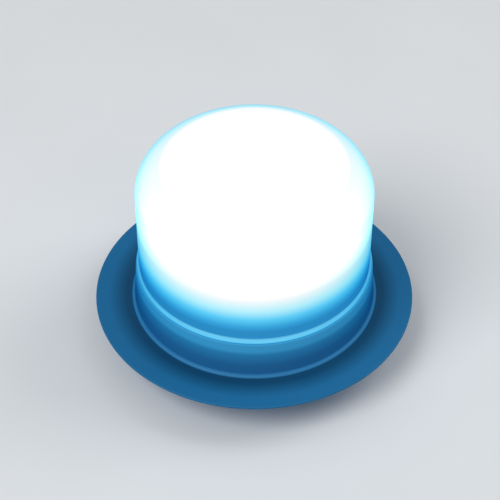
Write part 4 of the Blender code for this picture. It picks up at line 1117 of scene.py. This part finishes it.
def build_tongue():
    """The charging socket's tongue with contacts on both faces."""
    size = extent("socket_tongue")
    centre = middle("socket_tongue")
    forms = [block(size, centre, WEB_ROUND, 3)]
    count = 12
    pitch = 0.86 * size.x / count
    for number in range(count):
        x = (number - (count - 1) / 2) * pitch
        for side in SIDES:
            place = centre + Vector((x, 0.08 * size.y, side * size.z / 2))
            forms.append(block((0.55 * pitch, 0.7 * size.y, 0.06 * MM), place, 0.02 * MM, 1, 1))
    add_piece(
        "charge_tongue", "socket_tongue", "base", "black_plastic", gather(forms),
        "black_plastic", "gold_contact",
    )


def build_port_cover(sizes):
    """The hinged cover with its grip, and the web and knuckle of its hinge."""
    highest = high("port_cover")
    height = extent("port_cover").z
    thickness = 1.8 * MM
    layer = HOUSING_RADIUS - sizes.port_flat + sizes.seat_gap + thickness / 2
    plate = block((2 * highest.x, thickness, height), (0.0, layer, HINGE.z), 0.5 * MM, 4)
    grips = []
    for step in range(3):
        grip_place = (highest.x - (1.1 + 1.3 * step) * MM, (highest.y + layer) / 2, HINGE.z)
        grip_size = (0.8 * MM, highest.y - layer, 0.6 * height)
        grips.append(block(grip_size, grip_place, sizes.edge_round, 3))
    web_start = HINGE.x + PIN_ROOM
    web_end = -highest.x + 1.0 * MM
    web_size = (web_end - web_start, thickness - 1.0 * MM, 2 * KNUCKLE_HALF - BITE)
    web = block(web_size, ((web_end + web_start) / 2, layer, HINGE.z), WEB_ROUND, 3)
    ring = knuckle(sizes, HINGE.z - KNUCKLE_HALF, HINGE.z + KNUCKLE_HALF)
    form = carve(plate, joins=[*grips, web, ring])
    add_piece("port_flap", "port_cover", "port_flap", "milky_plastic", form, "milky_plastic")


def build_plug_and_pin():
    """The plug behind the port cover and the pin of its hinge."""
    plug = move(stadium(extent("port_plug")), middle("port_plug"))
    bevel(plug, edges_at(plug, low("port_plug").y), 0.25 * MM, 3)
    add_piece("plug", "port_plug", "port_flap", "black_rubber", plug, "black_rubber")
    lowest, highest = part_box("port_hinge_pin")
    pin = bar(extent("port_hinge_pin").x / 2, lowest.z, highest.z, WEB_ROUND, TINY_STEPS)
    add_piece("hinge_pin", "port_hinge_pin", "base", "zinc_steel", over(HINGE, pin), "zinc_steel")


def screw_pads(hole, bottom):
    """A film of bare metal round each screw's hole."""
    for post in POSTS:
        pad = washer(hole + 0.1 * MM, PAD_RADIUS, bottom, bottom + FILM, 0.0, TINY_STEPS)
        yield paint(over(post, pad), 1)


def build_control_board(sizes):
    """The round control board with a tab under the socket, and the bare metal round its screws."""
    lowest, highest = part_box("control_board")
    board = bar(extent("control_board").x / 2, lowest.z, highest.z, 0.0, BODY_STEPS)
    tab_width = 11.4 * MM
    tab = box((tab_width, highest.y, highest.z - lowest.z))
    move(tab, (0.0, highest.y / 2, middle("control_board").z))
    hole = COVER_SHANK + sizes.screw_gap
    board = carve(board, joins=[tab], cuts=holes("cover_screw", hole, lowest.z, highest.z))
    forms = [board, *screw_pads(hole, highest.z), *screw_pads(hole, lowest.z - FILM)]
    add_piece(
        "control_board_mask", "control_board", "base", "green_board", gather(forms),
        "green_board", "gold_contact",
    )


def build_chip():
    """The control chip with a dimple at its first pin."""
    size = extent("control_chip")
    centre = middle("control_chip")
    top = high("control_chip").z
    dimple = bar(0.5 * MM, top - 0.1 * MM, top + PAST, 0.0, TINY_STEPS)
    corner = centre + Vector((-0.36 * size.x, 0.36 * size.y, 0.0))
    forms = [carve(block(size, centre, 0.25 * MM, 3), cuts=[over(corner, dimple)])]
    count = 8
    pitch = 0.8 * size.x / count
    for side in range(4):
        for number in range(count):
            place = ((number - (count - 1) / 2) * pitch, size.y / 2 + 0.2 * MM, BOARD_TOP + 0.1 * MM)
            pin = block((0.5 * pitch, 1.0 * MM, 0.2 * MM), place, 0.04 * MM, 1, 1)
            forms.append(over(centre, move(pin, ORIGIN, side * math.pi / 2)))
    add_piece(
        "control_package", "control_chip", "base", "black_plastic", gather(forms), "black_plastic", "solder"
    )


def build_coil():
    """The charging coil with a ring groove in its top and two tabs."""
    size = extent("charge_coil")
    centre = middle("charge_coil")
    top = high("charge_coil").z
    groove = washer(0.3 * size.x, 0.36 * size.x, top - 0.25 * MM, top + PAST)
    forms = [carve(move(box(size, 1.2 * MM, 6, along=2), centre), cuts=[over(centre, groove)])]
    for side in SIDES:
        place = (centre.x, centre.y + side * size.y / 2, BOARD_TOP + 0.07 * MM)
        forms.append(block((0.3 * size.x, 0.8 * MM, 0.12 * MM), place, 0.03 * MM, 1, 1))
    add_piece("coil_body", "charge_coil", "base", "black_plastic", gather(forms), "black_plastic", "solder")


def build_capacitor():
    """The capacitor's can with a rolled groove above its foot and a rim round its top."""
    bottom, top = low("filter_capacitor").z, high("filter_capacitor").z
    radius = extent("filter_capacitor").x / 2
    dish = top - 0.15 * MM
    can = spin([
        (0.0, dish), (0.82 * radius, dish, FINE_ROUND), (0.86 * radius, top, FINE_ROUND),
        (radius, top, 0.4 * MM), (radius, bottom + 1.0 * MM, FINE_ROUND),
        (0.93 * radius, bottom + 0.8 * MM, FINE_ROUND), (radius, bottom + 0.6 * MM, FINE_ROUND),
        (radius, bottom, FINE_ROUND), (0.0, bottom),
    ])
    over(middle("filter_capacitor"), can)
    add_piece("capacitor_can", "filter_capacitor", "base", "aluminium_can", can, "aluminium_can")


def build_cells():
    """Two wrapped cells along X."""
    for name in ("front", "rear"):
        node = f"battery_cell_{name}"
        start, nub_end = low(node).x, high(node).x
        centre = middle(node)
        radius = extent(node).y / 2
        nub = 3.2 * MM
        end = nub_end - 1.0 * MM
        well = end - 0.4 * MM
        wrap_round = 0.9 * MM
        lip = 0.12 * MM
        form = spin([
            (0.0, nub_end), (nub, nub_end, 0.3 * MM), (nub, well, 0.2 * MM),
            (0.66 * radius, well, FINE_ROUND), (0.7 * radius, end, FINE_ROUND), (radius, end, wrap_round),
            (radius, start, wrap_round), (0.76 * radius, start, lip), (0.74 * radius, start + lip),
            (0.0, start + lip),
        ])
        paint(form, 1, lambda spot: spot.xy.length < (0.68 if spot.z > 0 else 0.745) * radius)
        move(form, (0.0, centre.y, centre.z), math.pi / 2, "Y")
        add_piece(f"cell_{name}", node, "base", "cell_wrap", form, "cell_wrap", "nickel_strip")


def build_links():
    """The slotted strips across the ends of the cells."""
    for name in ("plus", "minus"):
        node = f"cell_link_{name}"
        size = extent(node)
        slots = []
        for side in SIDES:
            slot = box((4 * size.x, 0.8 * MM, 0.5 * size.z), 0.3 * MM, 3, along=0)
            slots.append(move(slot, (0.0, side * 0.366 * size.y, 0.0)))
        strip = move(carve(box(size, FINE_ROUND, 2), cuts=slots), middle(node))
        add_piece(f"link_{name}", node, "base", "nickel_strip", strip, "nickel_strip")


def notch_cut(sizes, bottom, top):
    """The opening in the rim of the light board and its carrier that the leads pass."""
    notch = bar(sizes.notch, bottom - PAST, top + PAST)
    return move(notch, (0.0, sizes.notch_inset - LIGHT_BOARD_RADIUS, 0.0))


def build_carrier(sizes):
    """The light board's carrier on its four posts, and the look of the cell holder under it."""
    lowest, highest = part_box("led_carrier")
    plate_bottom = highest.z - 1.6 * MM
    plate = bar(extent("led_carrier").x / 2, plate_bottom, highest.z, sizes.edge_round, BODY_STEPS)
    form = carve(
        plate, joins=bars(POSTS, sizes.post_radius, lowest.z, plate_bottom + BITE, BOSS_ROUND),
        cuts=[
            *holes("led_screw", COVER_SHANK + sizes.screw_gap, lowest.z, high("cover_screw_1").z),
            *holes("led_screw", LED_SHANK + sizes.screw_gap, low("led_screw_1").z, highest.z),
            notch_cut(sizes, plate_bottom, highest.z),
        ],
    )
    add_piece("carrier_moulding", "led_carrier", "base", "white_plastic", form, "white_plastic")
    holder = frame["nodes"]["cell_holder"]
    holder.data.materials.clear()
    holder.data.materials.append(finish("white_plastic"))


def build_led_board(sizes):
    """The light board, with bare metal round its screws and under its emitters' terminals."""
    lowest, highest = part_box("led_board")
    hole = LED_SHANK + sizes.screw_gap
    board = carve(
        bar(LIGHT_BOARD_RADIUS, lowest.z, highest.z, FINE_ROUND, BODY_STEPS),
        cuts=[*holes("led_screw", hole, lowest.z, highest.z), notch_cut(sizes, lowest.z, highest.z)],
    )
    forms = [board, *screw_pads(hole, highest.z)]
    for node in LED_NAMES:
        place = middle(node)
        for side in SIDES:
            for row in ROWS:
                pad_place = (side * EMITTER_WIDTH / 2, row * TERMINAL_PITCH, 0.0)
                pad = block((1.1 * MM, 1.0 * MM, FILM), pad_place, 0.02 * MM, 1, 1)
                forms.append(outward(place, pad, place.xy.length, highest.z + FILM / 2))
    add_piece("light_board_mask", "led_board", "base", "white_board", gather(forms), "white_board", "solder")


def emitter_form(sizes, height):
    """A square emitter: a pale frame with a round well, the glowing fill in it and six bent terminals."""
    window = sizes.led_window
    floor = window - 0.2 * MM
    well = 0.45 * MM
    lift = 0.1 * MM
    body_place = (0.0, 0.0, (height + lift) / 2)
    body = block((0.94 * EMITTER_WIDTH, EMITTER_WIDTH, height - lift), body_place, 0.25 * MM, 3)
    cup = spin([
        (0.0, height + PAST), (window + PAST, height + PAST), (floor, height - well),
        (0.0, height - well),
    ])
    fill_bottom = height - 1.2 * well
    fill = spin([
        (0.0, height - 0.2 * MM), (window - 0.1 * MM, height - 0.15 * MM, 0.03 * MM),
        (floor, fill_bottom, 0.03 * MM), (0.0, fill_bottom),
    ])
    forms = [carve(body, cuts=[cup]), paint(fill, 1)]
    for side in SIDES:
        for row in ROWS:
            place = (side * 0.47 * EMITTER_WIDTH, row * TERMINAL_PITCH, 0.25 * MM)
            forms.append(block((0.5 * MM, 0.8 * MM, 0.7 * MM), place, FINE_ROUND, 2, 2))
    return gather(forms)


def build_leds(sizes):
    """The emitters, each facing out from the middle of the light board."""
    seat = LIGHT_BOARD_TOP + FILM
    for node in LED_NAMES:
        place = middle(node)
        form = outward(place, emitter_form(sizes, high(node).z - seat), place.xy.length, seat)
        name = node.replace("led", "emitter")
        add_piece(name, node, "base", "light_emitter", form, "white_plastic", "glowing_window", "solder")


def smooth_path(points, steps=8):
    """Points on a smooth curve through others, straight at both ends."""
    points = [Vector(point) for point in points]
    path = points[:2]
    for before, start, end, after in zip(points, points[1:], points[2:], points[3:]):
        leave, arrive = (end - before) / 2, (after - start) / 2
        for step in range(1, steps + 1):
            t = step / steps
            path.append(
                start * (2 * t ** 3 - 3 * t ** 2 + 1) + leave * (t ** 3 - 2 * t ** 2 + t)
                + end * (3 * t ** 2 - 2 * t ** 3) + arrive * (t ** 3 - t ** 2)
            )
    return path + points[-1:]


def solder_joint(place, radius, turn=0.0):
    """A cone of solder round the end of a lead, up from a board or turned about Y to stand on a wall."""
    height = radius
    form = spin([
        (0.0, height), (1.08 * radius, height, 0.06 * MM), (1.25 * radius, 0.3 * height, 0.3 * MM),
        (1.7 * radius, 0.0), (0.0, 0.0),
    ], TINY_STEPS)
    return paint(move(form, place, turn, "Y"), 1)


def build_cell_wire(sizes, name, wire):
    """A lead from the cells' strip down to the control board, with its solder."""
    node = f"battery_lead_{name}"
    lowest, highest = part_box(node)
    radius = sizes.lead_radius
    holder = low("cell_holder").z
    side = math.copysign(1.0, lowest.x)
    near, far = sorted((abs(lowest.x), abs(highest.x)))
    inside, outside = side * (near + radius), side * (far - radius)
    route = [
        (inside, 0.0, highest.z), (inside, 0.0, middle("battery_cell_front").z),
        (outside, 0.0, holder + 1.7 * WIRE_RISE), (outside, 0.0, holder), (outside, 0.0, lowest.z),
    ]
    strip_face = (high if side > 0 else low)(f"cell_link_{name}").x
    forms = [
        tube(smooth_path(route), radius), solder_joint((outside, 0.0, BOARD_TOP), radius),
        solder_joint((strip_face, 0.0, highest.z - 1.5 * radius), radius, side * math.pi / 2),
    ]
    add_piece(f"cell_wire_{name}", node, "base", wire, gather(forms), wire, "solder")


def build_light_wire(sizes, name, wire):
    """A lead from the control board up through the notch to the light board, with its solder."""
    node = f"led_lead_{name}"
    lowest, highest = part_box(node)
    radius = sizes.lead_radius
    x = middle(node).x
    near, far = highest.y - radius, lowest.y + radius
    pad = far + 7 * radius
    solder_gap = lowest.z - BOARD_TOP
    route = [
        (x, near, lowest.z), (x, near, lowest.z + WIRE_RISE), (x, far, middle("battery_cell_front").z),
        (x, far, low("led_board").z), (x, far, LIGHT_BOARD_TOP), (x, (far + pad) / 2, highest.z - radius),
        (x, pad, LIGHT_BOARD_TOP + WIRE_RISE), (x, pad, LIGHT_BOARD_TOP + solder_gap),
    ]
    forms = [
        tube(smooth_path(route), radius), solder_joint((x, near, BOARD_TOP), radius),
        solder_joint((x, pad, LIGHT_BOARD_TOP), radius),
    ]
    add_piece(f"light_wire_{name}", node, "base", wire, gather(forms), wire, "solder")


# Stage

FLOOR_RADIUS = 4.0
FLOOR_STEPS = 96
KEY_PLACE = (-0.7, -0.6, 1.1)
KEY_SIZE = 0.9
FILL_PLACE = (0.9, 0.3, 0.9)
FILL_SIZE = 0.8
SENSOR_WIDTH = 36.0  # in millimetres, as the lens is
NEAREST = 0.01  # nothing nearer to the camera is shown


def add_lamp(name, place, size, watts):
    """A soft round lamp that faces the middle of the flare lamp."""
    light = bpy.data.lights.new(name, "AREA")
    light.shape = "DISK"
    light.size = size
    light.energy = watts
    item = linked(name, light)
    item.location = place
    aim = Vector((0.0, 0.0, CAP_TOP / 2)) - item.location
    item.rotation_euler = aim.to_track_quat("-Z", "Y").to_euler()


def build_stage(stage):
    """The floor, the even light, two lamps and the camera."""
    form = bmesh.new()
    bmesh.ops.create_circle(form, cap_ends=True, segments=FLOOR_STEPS, radius=FLOOR_RADIUS)
    floor = linked("studio_floor", mesh_of(form, "studio_floor"))
    floor.data.materials.append(finish("studio_floor"))
    floor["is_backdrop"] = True
    scene = bpy.context.scene
    world = bpy.data.worlds.new("studio")
    world.use_nodes = True
    background = world.node_tree.nodes["Background"]
    background.inputs["Color"].default_value = (1.0, 1.0, 1.0, 1.0)
    background.inputs["Strength"].default_value = stage.sky_level
    scene.world = world
    add_lamp("key_light", KEY_PLACE, KEY_SIZE, stage.key_power)
    add_lamp("fill_light", FILL_PLACE, FILL_SIZE, stage.fill_power)
    camera = bpy.data.cameras.new("camera")
    camera.lens = stage.lens
    camera.sensor_width = SENSOR_WIDTH
    camera.clip_start = NEAREST
    item = linked("camera", camera)
    item.location = (stage.camera_aside, -stage.camera_back, stage.camera_height)
    item.rotation_euler = (math.pi / 2 - stage.camera_tilt, 0.0, 0.0)
    scene.camera = item
    scene.view_settings.view_transform = "Standard"


# Operators

class FLARE_LAMP_OT_cap(bpy.types.Operator):
    """Model the frosted cap and the soft ring under it"""

    bl_idname = "flare_lamp.cap"
    bl_label = "Cap and ring"

    def execute(self, context):
        build_cap(context.scene.flare_lamp_sizes)
        build_ring(context.scene.flare_lamp_sizes)
        return {"FINISHED"}


class FLARE_LAMP_OT_shell(bpy.types.Operator):
    """Model the flanged shell"""

    bl_idname = "flare_lamp.shell"
    bl_label = "Flanged shell"

    def execute(self, context):
        build_shell(context.scene.flare_lamp_sizes)
        return {"FINISHED"}


class FLARE_LAMP_OT_cover(bpy.types.Operator):
    """Model the bottom cover, its seal and its feet"""

    bl_idname = "flare_lamp.cover"
    bl_label = "Bottom cover"

    def execute(self, context):
        build_cover(context.scene.flare_lamp_sizes)
        build_seal_and_feet(context.scene.flare_lamp_sizes)
        return {"FINISHED"}


class FLARE_LAMP_OT_screws(bpy.types.Operator):
    """Model the screws of the cover and of the light board"""

    bl_idname = "flare_lamp.screws"
    bl_label = "Screws"

    def execute(self, context):
        build_screws()
        return {"FINISHED"}


class FLARE_LAMP_OT_button(bpy.types.Operator):
    """Model the power button, its switch and its status light"""

    bl_idname = "flare_lamp.button"
    bl_label = "Power button"

    def execute(self, context):
        build_button(context.scene.flare_lamp_sizes)
        build_switch(context.scene.flare_lamp_sizes)
        build_light_pipe(context.scene.flare_lamp_sizes)
        build_status_emitter()
        return {"FINISHED"}


class FLARE_LAMP_OT_port(bpy.types.Operator):
    """Model the charging socket and its hinged cover"""

    bl_idname = "flare_lamp.port"
    bl_label = "Charging port"

    def execute(self, context):
        build_socket(context.scene.flare_lamp_sizes)
        build_tongue()
        build_port_cover(context.scene.flare_lamp_sizes)
        build_plug_and_pin()
        return {"FINISHED"}


class FLARE_LAMP_OT_control_board(bpy.types.Operator):
    """Model the control board and what is soldered to it"""

    bl_idname = "flare_lamp.control_board"
    bl_label = "Control board"

    def execute(self, context):
        build_control_board(context.scene.flare_lamp_sizes)
        build_chip()
        build_coil()
        build_capacitor()
        return {"FINISHED"}


class FLARE_LAMP_OT_cells(bpy.types.Operator):
    """Model the cells and the strips that link them"""

    bl_idname = "flare_lamp.cells"
    bl_label = "Cells"

    def execute(self, context):
        build_cells()
        build_links()
        return {"FINISHED"}


class FLARE_LAMP_OT_light_board(bpy.types.Operator):
    """Model the light carrier, the light board and its emitters"""

    bl_idname = "flare_lamp.light_board"
    bl_label = "Light board"

    def execute(self, context):
        build_carrier(context.scene.flare_lamp_sizes)
        build_led_board(context.scene.flare_lamp_sizes)
        build_leds(context.scene.flare_lamp_sizes)
        return {"FINISHED"}


class FLARE_LAMP_OT_leads(bpy.types.Operator):
    """Model the leads between the cells and the boards"""

    bl_idname = "flare_lamp.leads"
    bl_label = "Leads"

    def execute(self, context):
        for name, wire in (("plus", "red_wire"), ("minus", "black_wire")):
            build_cell_wire(context.scene.flare_lamp_sizes, name, wire)
            build_light_wire(context.scene.flare_lamp_sizes, name, wire)
        return {"FINISHED"}


class FLARE_LAMP_OT_stage(bpy.types.Operator):
    """Set out the floor, the light and the camera"""

    bl_idname = "flare_lamp.stage"
    bl_label = "Stage"

    def execute(self, context):
        build_stage(context.scene.flare_lamp_stage)
        return {"FINISHED"}


STEPS = (
    FLARE_LAMP_OT_cap, FLARE_LAMP_OT_shell, FLARE_LAMP_OT_cover, FLARE_LAMP_OT_screws, FLARE_LAMP_OT_button,
    FLARE_LAMP_OT_port, FLARE_LAMP_OT_control_board, FLARE_LAMP_OT_cells, FLARE_LAMP_OT_light_board,
    FLARE_LAMP_OT_leads, FLARE_LAMP_OT_stage,
)


class FLARE_LAMP_PT_pieces(bpy.types.Panel):
    """Lists the lamp's pieces in the order that they are made"""

    bl_idname = "FLARE_LAMP_PT_pieces"
    bl_label = "Flare Lamp"
    bl_space_type = "VIEW_3D"
    bl_region_type = "UI"
    bl_category = "Flare Lamp"

    def draw(self, context):
        for step in STEPS:
            self.layout.operator(step.bl_idname)


GROUPS = {
    "flare_lamp_sizes": FlareLampSizes,
    "flare_lamp_colours": FlareLampColours,
    "flare_lamp_stage": FlareLampStage,
}
CLASSES = (*GROUPS.values(), *STEPS, FLARE_LAMP_PT_pieces)


def register():
    for item in CLASSES:
        bpy.utils.register_class(item)
    for name, group in GROUPS.items():
        setattr(bpy.types.Scene, name, PointerProperty(type=group))


def unregister():
    for name in GROUPS:
        delattr(bpy.types.Scene, name)
    for item in reversed(CLASSES):
        bpy.utils.unregister_class(item)


def main():
    register()
    for step in STEPS:
        group, name = step.bl_idname.split(".")
        getattr(getattr(bpy.ops, group), name)()
    sizes = {"cad": CAD_BOX, "visual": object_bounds()}
    {name: [list(corner) for corner in corners] for name, corners in sizes.items()}


if __name__ == "__main__":
    main()
